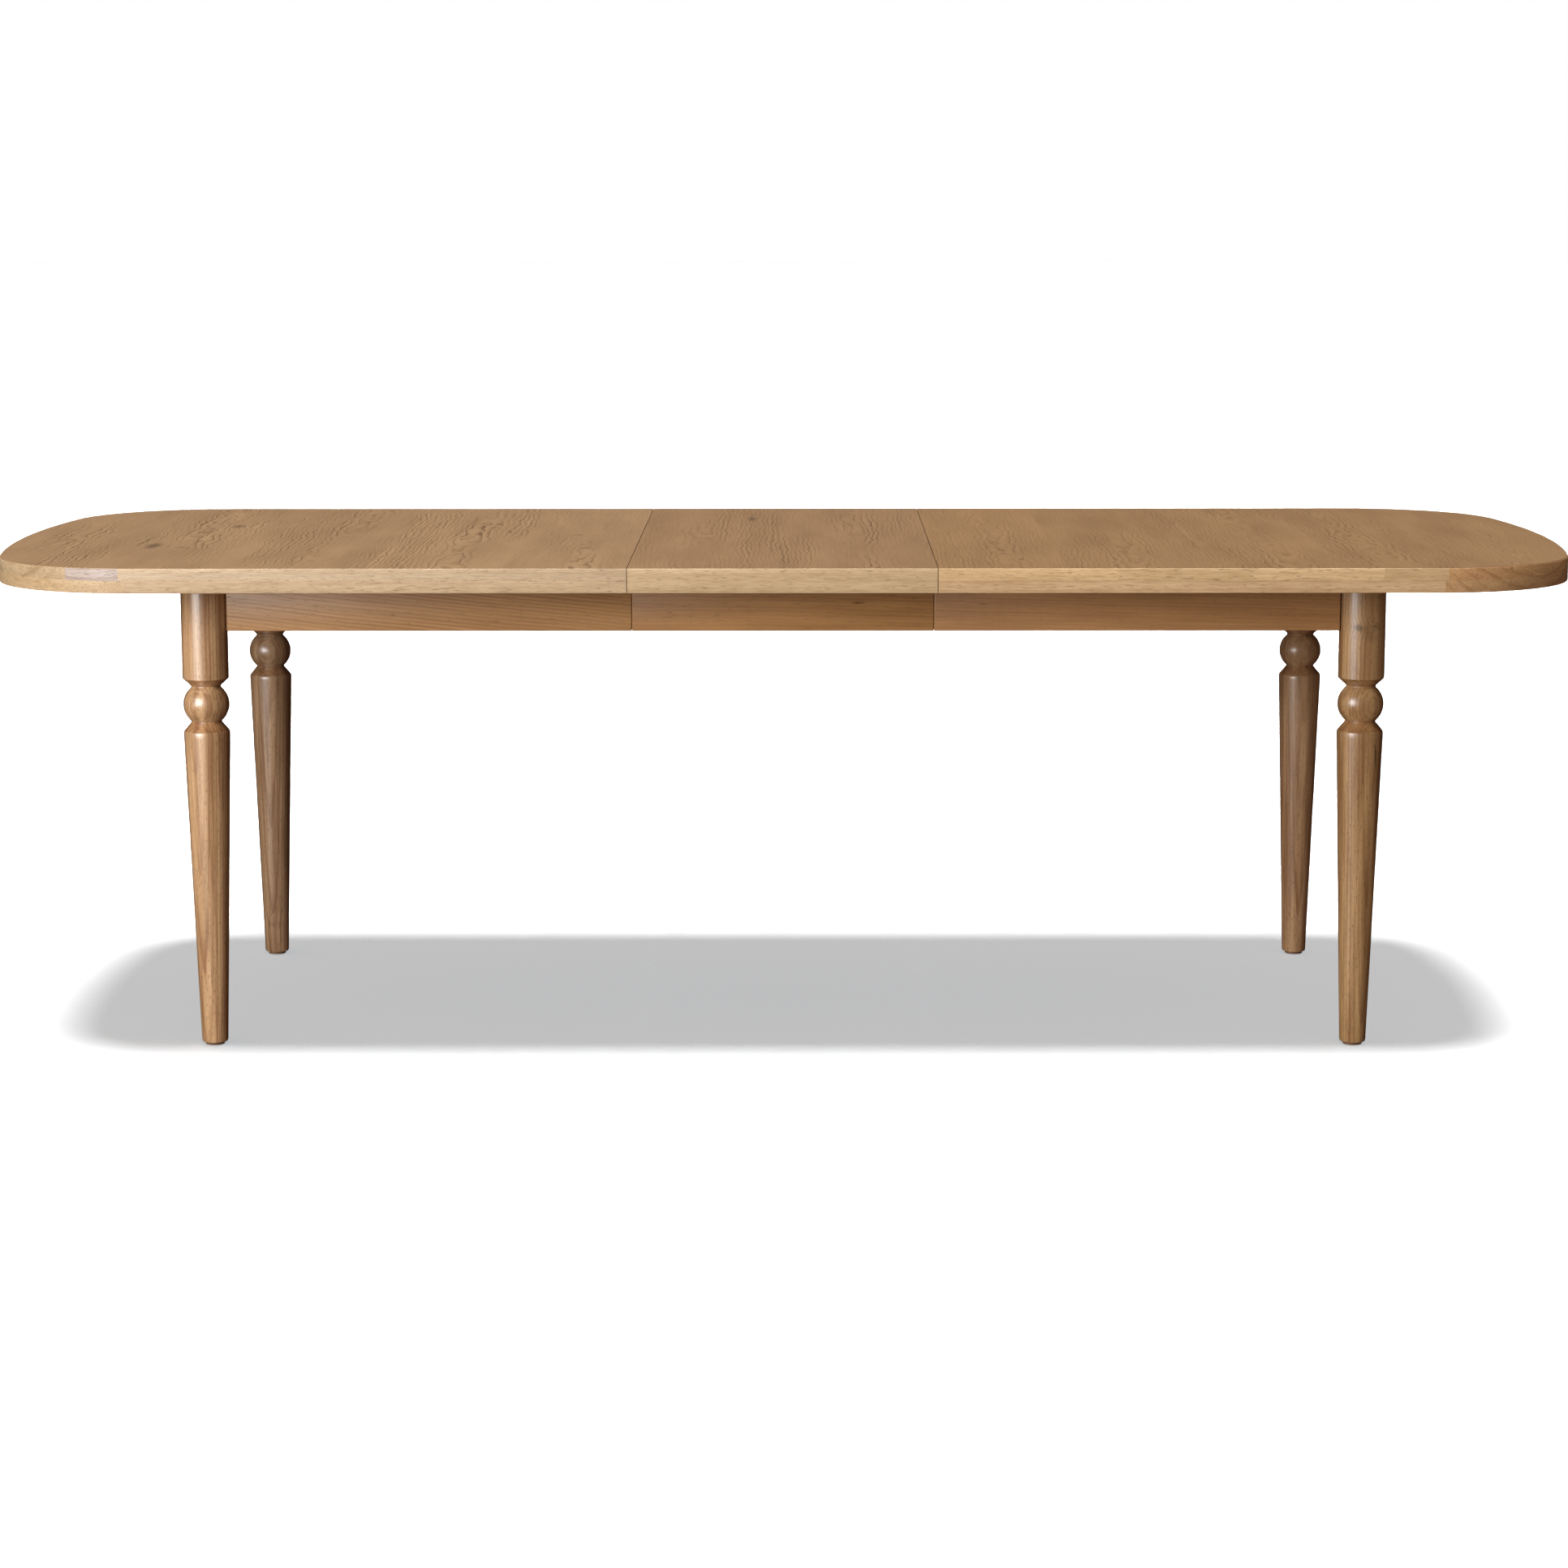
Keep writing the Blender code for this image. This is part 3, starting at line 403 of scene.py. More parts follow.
TOP_KNOTS = (
    ((-0.985, -0.16, 0.755), (0.012, 0.045, 0.010), 0.012, 0.55),
    ((-0.900, 0.17, 0.755), (0.010, 0.030, 0.010), 0.010, 0.45),
    ((-0.055, 0.30, 0.755), (0.006, 0.035, 0.010), 0.008, 0.50),
    ((-0.330, 0.02, 0.755), (0.007, 0.012, 0.010), 0.006, 0.35),
)
TOP_CRACKS = (
    ((-1.010, -0.09, 0.755), (0.0016, 0.110, 0.010), 0.75),
    ((-0.940, 0.28, 0.755), (0.0014, 0.120, 0.010), 0.60),
    ((-0.965, 0.05, 0.755), (0.0014, 0.070, 0.010), 0.60),
)
APRON_KNOTS = (
    ((0.113, -0.352, 0.686), (0.0085, 0.010, 0.0016), 0.004, 0.70),
    ((0.303, -0.352, 0.684), (0.0070, 0.010, 0.0012), 0.003, 0.45),
)
LEG_KNOTS = (
    ((0.870, -0.372, 0.650), (0.008, 0.012, 0.0050), 0.005, 0.62),
    ((0.893, -0.370, 0.652), (0.005, 0.012, 0.0022), 0.004, 0.55),
    ((-0.882, 0.312, 0.055), (0.0035, 0.010, 0.0040), 0.003, 0.70),
    ((0.883, -0.372, 0.643), (0.017, 0.016, 0.0170), 0.000, 0.22),
)
LEG_CRACKS = (
    ((0.9000, -0.366, 0.455), (0.0012, 0.010, 0.028), 0.85),
    ((-0.8790, -0.361, 0.110), (0.0007, 0.008, 0.022), 0.75),
)

VENEER_WOOD = wood(
    "top_veneer", TOP_LIGHT, TOP_DARK, spacing=0.0072, ring=1.0, line=(0.66, 0.94), rim=0.45, sway=0.052,
    sway_scale=(2.2, 5.5, 5.5), wiggle=0.020, wiggle_scale=(13.0, 32.0, 32.0), patches=(1.3, 7.0, 7.0),
    streak=0.18, mottle=0.28, pores=0.30, roughness=0.46, coat=0.06, knots=TOP_KNOTS, cracks=TOP_CRACKS,
)
EDGE_WOOD = wood(
    "edge_band", EDGE_LIGHT, EDGE_DARK, spacing=0.012, ring=0.20, sway=0.012, streak=0.50,
    streak_scale=(30.0, 420.0, 420.0), mottle=0.30, mottle_scale=(5.0, 45.0, 45.0), band=0.20, pores=0.62,
    pore_size=(0.014, 0.0014), pore_share=0.60, pore_color=(0.16, 0.09, 0.04), roughness=0.50, coat=0.03,
)
APRON_GRAIN = wood(
    "apron_wood", APRON_LIGHT, APRON_DARK, spacing=0.0048, ring=0.50, rim=0.50, sway=0.018, streak=0.36,
    mottle=0.30, mottle_scale=(4.0, 22.0, 22.0), band=0.24, pores=0.40, pore_size=(0.012, 0.0010),
    roughness=0.42, knots=APRON_KNOTS,
)
LEG_GRAIN = wood(
    "leg_wood", LEG_LIGHT, LEG_DARK, spacing=0.0055, ring=0.50, sway=0.010, streak=0.34, mottle=0.24,
    mottle_scale=(4.0, 30.0, 30.0), band=0.55, pores=0.70, pore_size=(0.0065, 0.0009), pore_share=0.61,
    roughness=0.38, coat=1.0, coat_roughness=0.30, coat_ior=1.7, knots=LEG_KNOTS, cracks=LEG_CRACKS,
)
CORE_WOOD = wood(
    "core_wood", EDGE_LIGHT, EDGE_DARK, spacing=0.010, ring=0.30, sway=0.012, streak=0.35, mottle=0.3,
    pores=0.5, pore_size=(0.012, 0.0012), roughness=0.60, coat=0.0,
)


def beech(name, axis, spacing, ring, roughness):
    """Plain beech for the frame under the top, its grain along one axis."""
    return wood(
        name, BEECH_LIGHT, BEECH_DARK, spacing=spacing, ring=ring, streak=0.3, mottle=0.3, pores=0.4,
        pore_size=(0.003, 0.0006), roughness=roughness, coat=0.0, axis=axis,
    )


SLIDE_WOOD = beech("slide_wood", "X", 0.006, 0.30, 0.5)
CROSS_WOOD = beech("cross_wood", "Y", 0.007, 0.35, 0.5)
BLOCK_WOOD = beech("block_wood", "Z", 0.005, 0.35, 0.6)
STEEL = metal("zinc_steel", (0.60, 0.60, 0.58), 0.36)
WHITE_NYLON = nylon("white_nylon", (0.74, 0.72, 0.66), 0.45)
DARK_NYLON = nylon("dark_nylon", (0.17, 0.095, 0.052), 0.5)


# ---------------------------------------------------------------- mesh helpers


def new_mesh():
    """A bmesh whose corners carry wood coordinates, their board's tint and how strong its rings are."""
    mesh = bmesh.new()
    mesh.loops.layers.float_vector.new("grain")
    mesh.loops.layers.float_vector.new("tint")
    mesh.loops.layers.float.new("figure")
    return mesh


def tint(tone):
    """A board's colour against its neighbours': a lighter or darker step, or red, green and blue gains."""
    return Vector(tone) if isinstance(tone, tuple) else Vector((1, 1, 1)) * (1 + TONE_STEP * tone)


def stamp(mesh, faces, along, offset, tone, figure=1.0):
    """Give faces their wood coordinates: along is the grain's direction, offset moves the trunk's axis."""
    strength = mesh.loops.layers.float["figure"]
    grain = mesh.loops.layers.float_vector["grain"]
    shade = mesh.loops.layers.float_vector["tint"]
    along = Vector(along).normalized()
    up = Vector((0, 0, 1)) if abs(along.z) < 0.9 else Vector((1, 0, 0))
    side = along.cross(up).normalized()
    up = side.cross(along)
    offset = Vector(offset)
    for face in faces:
        for loop in face.loops:
            place = loop.vert.co
            loop[grain] = Vector((place.dot(along), place.dot(side), place.dot(up))) + offset
            loop[shade] = tint(tone)
            loop[strength] = figure


def to_data(mesh, name):
    """Turn a closed bmesh into mesh data, with its faces outwards."""
    data = bpy.data.meshes.new(name)
    bmesh.ops.recalc_face_normals(mesh, faces=mesh.faces)
    mesh.to_mesh(data)
    mesh.free()
    return data


def new_object(name, data):
    """An object in the scene."""
    made = bpy.data.objects.new(name, data)
    bpy.context.scene.collection.objects.link(made)
    return made


def to_piece(mesh, name, body, material, replaced=(), smooth_deg=35.0):
    """Turn a bmesh into a piece of the table that rides on a body."""
    data = to_data(mesh, name)
    data.materials.append(material)
    data.shade_smooth()
    data.set_sharp_from_angle(angle=math.radians(smooth_deg))
    piece = new_object(name, data)
    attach(piece, body)
    if replaced:
        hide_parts(*replaced)
    return piece


def add_box(mesh, low, high, radius):
    """A box with rounded edges; gives back its faces."""
    low, high = Vector(low), Vector(high)
    before = set(mesh.faces)
    made = bmesh.ops.create_cube(mesh, size=1.0)["verts"]
    bmesh.ops.scale(mesh, vec=high - low, verts=made)
    bmesh.ops.translate(mesh, vec=(high + low) / 2, verts=made)
    edges = {edge for vert in made for edge in vert.link_edges}
    bmesh.ops.bevel(
        mesh, geom=list(edges), offset=radius, offset_type="OFFSET", segments=ROUND_STEPS, profile=0.5,
        affect="EDGES", clamp_overlap=True,
    )
    return [face for face in mesh.faces if face not in before]


def add_lathe(mesh, profile, center, steps):
    """A turned solid from (radius, z) points that run top to bottom and start and end on the axis."""
    rings = []
    for radius, z in profile:
        if radius == 0:
            rings.append([mesh.verts.new((center[0], center[1], z))])
            continue
        around = arc(center, radius, 0, 360, steps)[:-1]
        rings.append([mesh.verts.new((*place, z)) for place in around])
    faces = []
    for upper, lower in zip(rings, rings[1:]):
        for i in range(steps):
            j = (i + 1) % steps
            near = [upper[i % len(upper)], lower[i % len(lower)]]
            far = [lower[j % len(lower)], upper[j % len(upper)]]
            faces.append(mesh.faces.new(list(dict.fromkeys(near + far))))
    return faces


def add_sweep(mesh, sections):
    """A solid through matching closed sections, capped at both ends."""
    rings = [[mesh.verts.new(point) for point in section] for section in sections]
    count = len(rings[0])
    faces = []
    for first, second in zip(rings, rings[1:]):
        for i in range(count):
            j = (i + 1) % count
            faces.append(mesh.faces.new((first[i], first[j], second[j], second[i])))
    faces.append(mesh.faces.new(rings[0][::-1]))
    faces.append(mesh.faces.new(rings[-1]))
    return faces


def arc(center, radius, start_deg, end_deg, steps):
    """Points along an arc in a flat plane."""
    turns = (math.radians(start_deg + (end_deg - start_deg) * i / steps) for i in range(steps + 1))
    return [(center[0] + radius * math.cos(a), center[1] + radius * math.sin(a)) for a in turns]


# ---------------------------------------------------------------- the top's outline

PANEL_LOW, PANEL_HIGH = (Vector(corner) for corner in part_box("right_top_panel"))
CORE_LOW, CORE_HIGH = (Vector(corner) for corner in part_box("right_top_core"))
SEAM_X = PANEL_LOW.x + SEAM_EASE
END_X = PANEL_HIGH.x
HALF_WIDTH = PANEL_HIGH.y
TOP_Z = PANEL_HIGH.z
SPLIT_Z = (PANEL_LOW.z + CORE_HIGH.z) / 2
UNDER_Z = CORE_LOW.z


class Outline:
    """The edge of the right half's top, followed from the front seam round to the rear one."""

    def __init__(self):
        self.bow_x = END_X - END_BOW_RADIUS
        self.corner_y = HALF_WIDTH - CORNER_RADIUS
        spread = END_BOW_RADIUS - CORNER_RADIUS
        self.corner_x = self.bow_x + math.sqrt(spread**2 - self.corner_y**2)
        self.meet = math.asin(self.corner_y / spread)
        self.straight = self.corner_x - SEAM_X
        self.corner = CORNER_RADIUS * (math.pi / 2 - self.meet)
        self.bow = 2 * END_BOW_RADIUS * self.meet
        self.length = 2 * (self.straight + self.corner) + self.bow

    def at(self, distance):
        """The point and outward direction at a distance along the edge."""
        middle = self.length / 2
        if distance > middle:
            point, out = self.at(self.length - distance)
            return Vector((point.x, -point.y)), Vector((out.x, -out.y))
        if distance <= self.straight:
            return Vector((SEAM_X + distance, -HALF_WIDTH)), Vector((0, -1))
        turned = distance - self.straight
        if turned <= self.corner:
            angle = -math.pi / 2 + turned / CORNER_RADIUS
            out = Vector((math.cos(angle), math.sin(angle)))
            return Vector((self.corner_x, -self.corner_y)) + CORNER_RADIUS * out, out
        angle = -self.meet + (turned - self.corner) / END_BOW_RADIUS
        out = Vector((math.cos(angle), math.sin(angle)))
        return Vector((self.bow_x, 0)) + END_BOW_RADIUS * out, out

    def stops(self, start, end):
        """Distances that follow the edge smoothly between two of them."""
        knees = [0.0, self.straight, self.straight + self.corner]
        knees += [self.length - knee for knee in reversed(knees)]
        steps = (1, CORNER_STEPS, BOW_STEPS, CORNER_STEPS, 1)
        found = {start, end}
        for low, high, count in zip(knees, knees[1:], steps):
            found |= {low + (high - low) * i / count for i in range(count + 1)}
        return sorted(d for d in found if start <= d <= end)


OUTLINE = Outline()


def flip(half, point):
    """Turn a point of the right half to the half it is for."""
    return Vector((half * point[0], half * point[1], *point[2:]))


def edge_profile(bottom, top, round_low, round_high):
    """An edge strip's section as (depth from the edge, z), rounded where it shows."""
    points = [(EDGE_DEPTH, bottom)]
    if round_low:
        points += arc((EDGE_ROUND, bottom + EDGE_ROUND), EDGE_ROUND, 270, 180, ROUND_STEPS)
    else:
        points += [(LAYER_LINE, bottom), (0, bottom + LAYER_LINE)]
    if round_high:
        points += arc((EDGE_ROUND, top - EDGE_ROUND), EDGE_ROUND, 180, 90, ROUND_STEPS)
    else:
        points += [(0, top - LAYER_LINE), (LAYER_LINE, top)]
    return points + [(EDGE_DEPTH, top)]


def add_edge_strip(mesh, half, start, end, profile, dice, tone):
    """One lamella of the edge, from one butt joint to the next."""
    sections = []
    for distance in OUTLINE.stops(start, end):
        point, out = OUTLINE.at(distance)
        inward = [(point.x - depth * out.x, point.y - depth * out.y, z) for depth, z in profile]
        sections.append([flip(half, place) for place in inward])
    faces = add_sweep(mesh, sections)
    middle_out = OUTLINE.at((start + end) / 2)[1]
    along = (middle_out.y, -middle_out.x, 0)
    offset = (dice.uniform(0, 9), dice.uniform(0.05, 0.12), dice.uniform(0.03, 0.10))
    in_end = start > CORNER_START and end < OUTLINE.length - CORNER_START
    stamp(mesh, faces, along, offset, tone, END_STREAKS if in_end else 1.0)


def strip_joints(first, last):
    """All the butt joints of one layer: those after the start seam, the end blocks', the last ones."""
    corner_end = OUTLINE.straight + OUTLINE.corner
    past, before, short = END_BLOCKS
    end_joints = (corner_end + past, OUTLINE.length / 2 - before, OUTLINE.length - corner_end - short)
    joints = {0.0, *first, *end_joints, *(OUTLINE.length - joint for joint in last), OUTLINE.length}
    return sorted(joints)


def make_edge(half, side, layer, joints, tones, seed):
    """The lamellas round one half, in one of the two layers."""
    dice = random.Random(seed)
    upper = layer == "upper"
    low, high = (SPLIT_Z, TOP_Z - VENEER) if upper else (UNDER_Z, SPLIT_Z)
    profile = edge_profile(low, high, not upper, upper)
    mesh = new_mesh()
    for i, (start, end) in enumerate(zip(joints, joints[1:])):
        tone = tones[i] if i < len(tones) else dice.uniform(-0.6, 0.5)
        add_edge_strip(mesh, half, start, end, profile, dice, tone)
    return to_piece(mesh, f"{side}_{layer}_edge", side + "_half", EDGE_WOOD)


def half_outline(half, depth):
    """One half's outline drawn in by a depth, as far as the seam."""
    points = []
    for distance in OUTLINE.stops(0.0, OUTLINE.length):
        point, out = OUTLINE.at(distance)
        points.append((half * (point.x - depth * out.x), half * (point.y - depth * out.y)))
    return points


def add_slab(mesh, outline, bottom, top):
    """A flat solid with the given outline."""
    lower = [mesh.verts.new((x, y, bottom)) for x, y in outline]
    upper = [mesh.verts.new((x, y, top)) for x, y in outline]
    count = len(outline)
    faces = [mesh.faces.new(upper), mesh.faces.new(lower[::-1])]
    for i in range(count):
        j = (i + 1) % count
        faces.append(mesh.faces.new((lower[i], lower[j], upper[j], upper[i])))
    return faces


def cut_across(mesh, axis, places):
    """Split a slab's faces along straight lines, so that each board can have its own wood."""
    normal = Vector((1, 0, 0)) if axis == "X" else Vector((0, 1, 0))
    for place in places:
        geometry = list(mesh.verts) + list(mesh.edges) + list(mesh.faces)
        bmesh.ops.bisect_plane(mesh, geom=geometry, plane_co=normal * place, plane_no=normal)


def stamp_boards(mesh, axis, places, along, boards):
    """Stamp each board between two lines with its own wood."""
    index = 0 if axis == "X" else 1
    for face in mesh.faces:
        middle = face.calc_center_median()[index]
        number = sum(middle > place for place in places)
        stamp(mesh, [face], along, *boards[number])


def board_lines(start, end, width, dice):
    """Lines between boards of roughly a width."""
    count = max(1, round((end - start) / width))
    step = (end - start) / count
    return [start + step * (i + dice.uniform(-0.12, 0.12)) for i in range(1, count)]


def veneer_boards(low, high, lines, shade, figure, dice):
    """Each veneer leaf's trunk offset, so that its cathedral figure runs near its middle."""
    edges = [low, *lines, high]
    boards = []
    for left, right in zip(edges, edges[1:]):
        middle = (left + right) / 2 + dice.uniform(-0.02, 0.02)
        depth = dice.uniform(0.012, 0.035)
        offset = (dice.uniform(0, 30), -middle, depth - TOP_Z)
        step = 1 + VENEER_STEP * dice.uniform(-1, 1)
        boards.append((offset, tuple(step * c for c in shade), figure * dice.uniform(0.7, 1.0)))
    return boards


def make_veneer(outline, name, body, replaced, shade, figure, seed):
    """The veneered face of one top: leaves laid side by side, grain front to back."""
    dice = random.Random(seed)
    mesh = new_mesh()
    add_slab(mesh, outline, TOP_Z - VENEER, TOP_Z)
    xs = [x for x, _ in outline]
    lines = board_lines(min(xs), max(xs), VENEER_WIDTH, dice)
    cut_across(mesh, "X", lines)
    boards = veneer_boards(min(xs), max(xs), lines, shade, figure, dice)
    stamp_boards(mesh, "X", lines, (0, 1, 0), boards)
    return to_piece(mesh, name, body, VENEER_WOOD, replaced)


def make_core(outline, name, body, bottom, top, replaced, seed):
    """The solid staves inside one layer, grain along the table."""
    dice = random.Random(seed)
    mesh = new_mesh()
    add_slab(mesh, outline, bottom, top)
    ys = [y for _, y in outline]
    lines = board_lines(min(ys), max(ys), STAVE_WIDTH, dice)
    cut_across(mesh, "Y", lines)
    boards = []
    for _ in range(len(lines) + 1):
        offset = (dice.uniform(0, 30), dice.uniform(0.02, 0.08), dice.uniform(0.02, 0.05) - bottom)
        boards.append((offset, dice.uniform(-0.8, 0.8)))
    stamp_boards(mesh, "Y", lines, (1, 0, 0), boards)
    return to_piece(mesh, name, body, CORE_WOOD, replaced)


# ---------------------------------------------------------------- the two halves' tops

# Each veneer's tint and how strong its rings are
VENEER_LOOKS = {
    "left": ((1.0, 1.0, 1.0), 1.0),
    "leaf": ((0.925, 0.895, 0.875), 0.85),
    "right": ((0.930, 0.880, 0.80), 0.6),
}
LEAF_EDGE_TINT = (1.025, 1.055, 1.085)
END_STREAKS = 3.0
# The edge strips' tones in order along the edge. Strips past the last one given get a random tone.
EDGE_TONES = {
    ("left", "upper"): (
        0.1, -0.2, 0.2, -0.3, 0.1, (0.82, 0.84, 0.88), (0.78, 0.89, 1.38), (0.94, 0.99, 1.11),
    ),
    ("left", "lower"): (0.0, -0.3, 0.1, -0.2, -0.4, (0.97, 0.99, 1.08)),
    ("right", "upper"): (
        (1.16, 1.13, 1.06), (1.09, 1.07, 1.00), (1.20, 1.19, 1.15), (1.06, 1.03, 0.97), (1.00, 0.82, 0.67),
        (0.94, 0.78, 0.65),
    ),
    ("right", "lower"): ((1.12, 1.08, 1.07), (1.03, 0.89, 0.77), (0.97, 0.85, 0.73)),
}


def make_half_top(half, side, seed):
    """One half's top: veneer, two layers of edge lamellas, and the staves inside."""
    body = side + "_half"
    for number, layer in enumerate(("upper", "lower")):
        joints = strip_joints(*EDGE_JOINTS[side, layer])
        make_edge(half, side, layer, joints, EDGE_TONES[side, layer], seed + number)
    veneer = half_outline(half, VENEER_INSET)
    make_veneer(veneer, side + "_veneer", body, (side + "_top_panel",), *VENEER_LOOKS[side], seed + 2)
    staves = half_outline(half, EDGE_DEPTH)
    low = (UNDER_Z, SPLIT_Z - LAYER_LINE)
    make_core(staves, side + "_lower_core", body, *low, (side + "_top_core",), seed + 3)
    high = (SPLIT_Z + LAYER_LINE, TOP_Z - VENEER)
    make_core(staves, side + "_upper_core", body, *high, (), seed + 4)


make_half_top(-1, "left", 11)
make_half_top(1, "right", 23)


def make_leaf_top():
    """The leaf's top: veneer over two layers, each with an edge lamella at the front and the rear."""
    low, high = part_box("leaf_top_panel")
    dice = random.Random(37)
    near, far = low[0] + SEAM_EASE, high[0] - SEAM_EASE
    inset = VENEER_INSET
    front, rear = low[1] + inset, high[1] - inset
    outline = [(near, front), (far, front), (far, rear), (near, rear)]
    make_veneer(outline, "leaf_veneer", "leaf", ("leaf_top_panel",), *VENEER_LOOKS["leaf"], 41)
    for layer in ("upper", "lower"):
        upper = layer == "upper"
        bottom, top = (SPLIT_Z, TOP_Z - VENEER) if upper else (UNDER_Z, SPLIT_Z)
        profile = edge_profile(bottom, top, not upper, upper)
        mesh = new_mesh()
        for side in (-1, 1):
            sections = [
                [(x, side * (high[1] - depth), z) for depth, z in profile] for x in (near, far)
            ]
            offset = (dice.uniform(0, 9), dice.uniform(0.05, 0.12), dice.uniform(0.03, 0.10))
            stamp(mesh, add_sweep(mesh, sections), (1, 0, 0), offset, LEAF_EDGE_TINT)
        to_piece(mesh, f"leaf_{layer}_edge", "leaf", EDGE_WOOD)
        inner = high[1] - EDGE_DEPTH
        staves = [(near, -inner), (far, -inner), (far, inner), (near, inner)]
        replaced = () if upper else ("leaf_top_core",)
        line = LAYER_LINE if upper else 0
        levels = (bottom + line, top - LAYER_LINE + line)
        make_core(staves, f"leaf_{layer}_core", "leaf", *levels, replaced, 43 + upper)


make_leaf_top()


# ---------------------------------------------------------------- aprons


def make_rail(node, body, along, tone, figure, seed):
    """An apron rail, straight-grained, with its long edges eased."""
    dice = random.Random(seed)
    mesh = new_mesh()
    low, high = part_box(node)
    faces = add_box(mesh, low, high, RAIL_ROUND)
    offset = (dice.uniform(0, 20), dice.uniform(0.06, 0.14), dice.uniform(0.05, 0.10))
    stamp(mesh, faces, along, offset, tone, figure)
    return to_piece(mesh, node + "_board", body, APRON_GRAIN, (node,))


RAILS = {
    "left_front": ((1, 0, -0.10), (1.02, 1.02, 0.98), 0.70),
    "leaf_front": ((1, 0, -0.012), (0.93, 0.88, 0.75), 0.28),
    "right_front": ((1, 0, -0.03), (1.00, 0.95, 0.91), 0.28),
    "left_rear": ((1, 0, 0.04), (1.0, 1.0, 1.0), 0.8),
    "leaf_rear": ((1, 0, -0.02), (0.95, 0.95, 0.95), 0.8),
    "right_rear": ((1, 0, 0.05), (0.97, 0.97, 0.97), 0.8),
    "left_end": ((0.02, 1, 0.03), (1.0, 1.0, 1.0), 0.8),
    "right_end": ((0.02, 1, -0.04), (0.95, 0.95, 0.95), 0.8),
}
for number, (place, (direction, tone, figure)) in enumerate(RAILS.items()):
    side = place.split("_")[0]
    body = "leaf" if side == "leaf" else side + "_half"
    make_rail(place + "_rail", body, direction, tone, figure, 60 + number)


# ---------------------------------------------------------------- legs


def ball_points():
    """The ball's profile, from one neck to the other."""
    high = math.acos(UPPER_NECK_RADIUS / BALL_RADIUS)
    low = -math.acos(LOWER_NECK_RADIUS / BALL_RADIUS)
    angles = (high + (low - high) * i / BALL_STEPS for i in range(BALL_STEPS + 1))
    return [(BALL_RADIUS * math.cos(a), BALL_Z + BALL_HALF_HEIGHT * math.sin(a)) for a in angles]


def leg_profile(top, foot, drop):
    """The turning, from the top down: block, chamfer, ringed neck, ball, ringed neck, collar, taper."""
    beads = [*ABOVE_BALL, *ball_points(), *BELOW_BALL]
    profile = [(0, top), (LEG_RADIUS - 0.001, top), (LEG_RADIUS, top - 0.001), (LEG_RADIUS, TURNING_TOP)]
    profile += [(radius, z - drop) for radius, z in beads]
    for share in (0.0, 0.25, 0.5, 0.75):
        radius = LEG_RADIUS + (FOOT_RADIUS - LEG_RADIUS) * share
        profile.append((radius, TAPER_TOP + (foot - TAPER_TOP) * share))
    profile.append((FOOT_RADIUS, foot + FOOT_EDGE))
    profile += [(FOOT_RADIUS - 0.0008, foot + 0.001), (FOOT_RADIUS - FOOT_EDGE, foot), (0, foot)]
    return profile


def make_leg(node, body, trunk, tone, drop, seed):
    """A leg turned from solid stock whose trunk axis lies off to one side."""
    start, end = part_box(node)
    center = ((start[0] + end[0]) / 2, (start[1] + end[1]) / 2)
    mesh = new_mesh()
    faces = add_lathe(mesh, leg_profile(end[2], start[2], drop), center, LEG_STEPS)
    stamp(mesh, faces, (0, 0, 1), (random.Random(seed).uniform(0, 20), 0, 0), tone)
    grain = mesh.loops.layers.float_vector["grain"]
    shade = mesh.loops.layers.float_vector["tint"]
    for face in faces:
        height = face.calc_center_median().z + drop
        in_neck = any(low < height < high for low, high in NECKS)
        for loop in face.loops:
            across = loop.vert.co - Vector((*center, 0))
            loop[grain] = Vector((loop[grain].x, across.x + trunk[0], across.y + trunk[1]))
            # Painted shade: faces in the necks get a darker colour
            if in_neck:
                loop[shade] = loop[shade] * Vector(NECK_PAINTED_SHADE)
    return to_piece(mesh, node + "_turning", body, LEG_GRAIN, (node,), 22.0)


LEGS = {
    "left_front_leg": ((0.030, 0.065), (1.15, 1.22, 1.27), 0, 81),
    "right_front_leg": ((-0.035, 0.060), (1.02, 1.06, 0.98), 0, 82),
    "left_rear_leg": ((0.004, 0.075), (0.78, 0.84, 0.95), REAR_BEAD_DROP, 83),
    "right_rear_leg": ((-0.012, 0.070), (0.90, 0.93, 0.98), REAR_BEAD_DROP, 84),
}
for node, (trunk, tone, drop, seed) in LEGS.items():
    make_leg(node, node.split("_")[0] + "_half", trunk, tone, drop, seed)


# ---------------------------------------------------------------- pin holes


def take_away(obj, mesh, smooth_deg=35.0):
    """Cut a closed bmesh out of an object."""
    cutter = new_object("cutter", to_data(mesh, "cutter"))
    modifier = obj.modifiers.new("cut", "BOOLEAN")
    modifier.operation = "DIFFERENCE"
    modifier.solver = "EXACT"
    modifier.object = cutter
    bpy.context.view_layer.update()
    cut = bpy.data.meshes.new_from_object(obj.evaluated_get(bpy.context.evaluated_depsgraph_get()))
    obj.modifiers.clear()
    obj.data = cut
    cut.set_sharp_from_angle(angle=math.radians(smooth_deg))
    bpy.data.objects.remove(cutter)


def add_rod(mesh, start, end, y, z, radius):
    """A round rod along the table."""
    around = arc((y, z), radius, 0, 360, HOLE_STEPS)[:-1]
    return add_sweep(mesh, [[(x, *place) for place in around] for x in (start, end)])


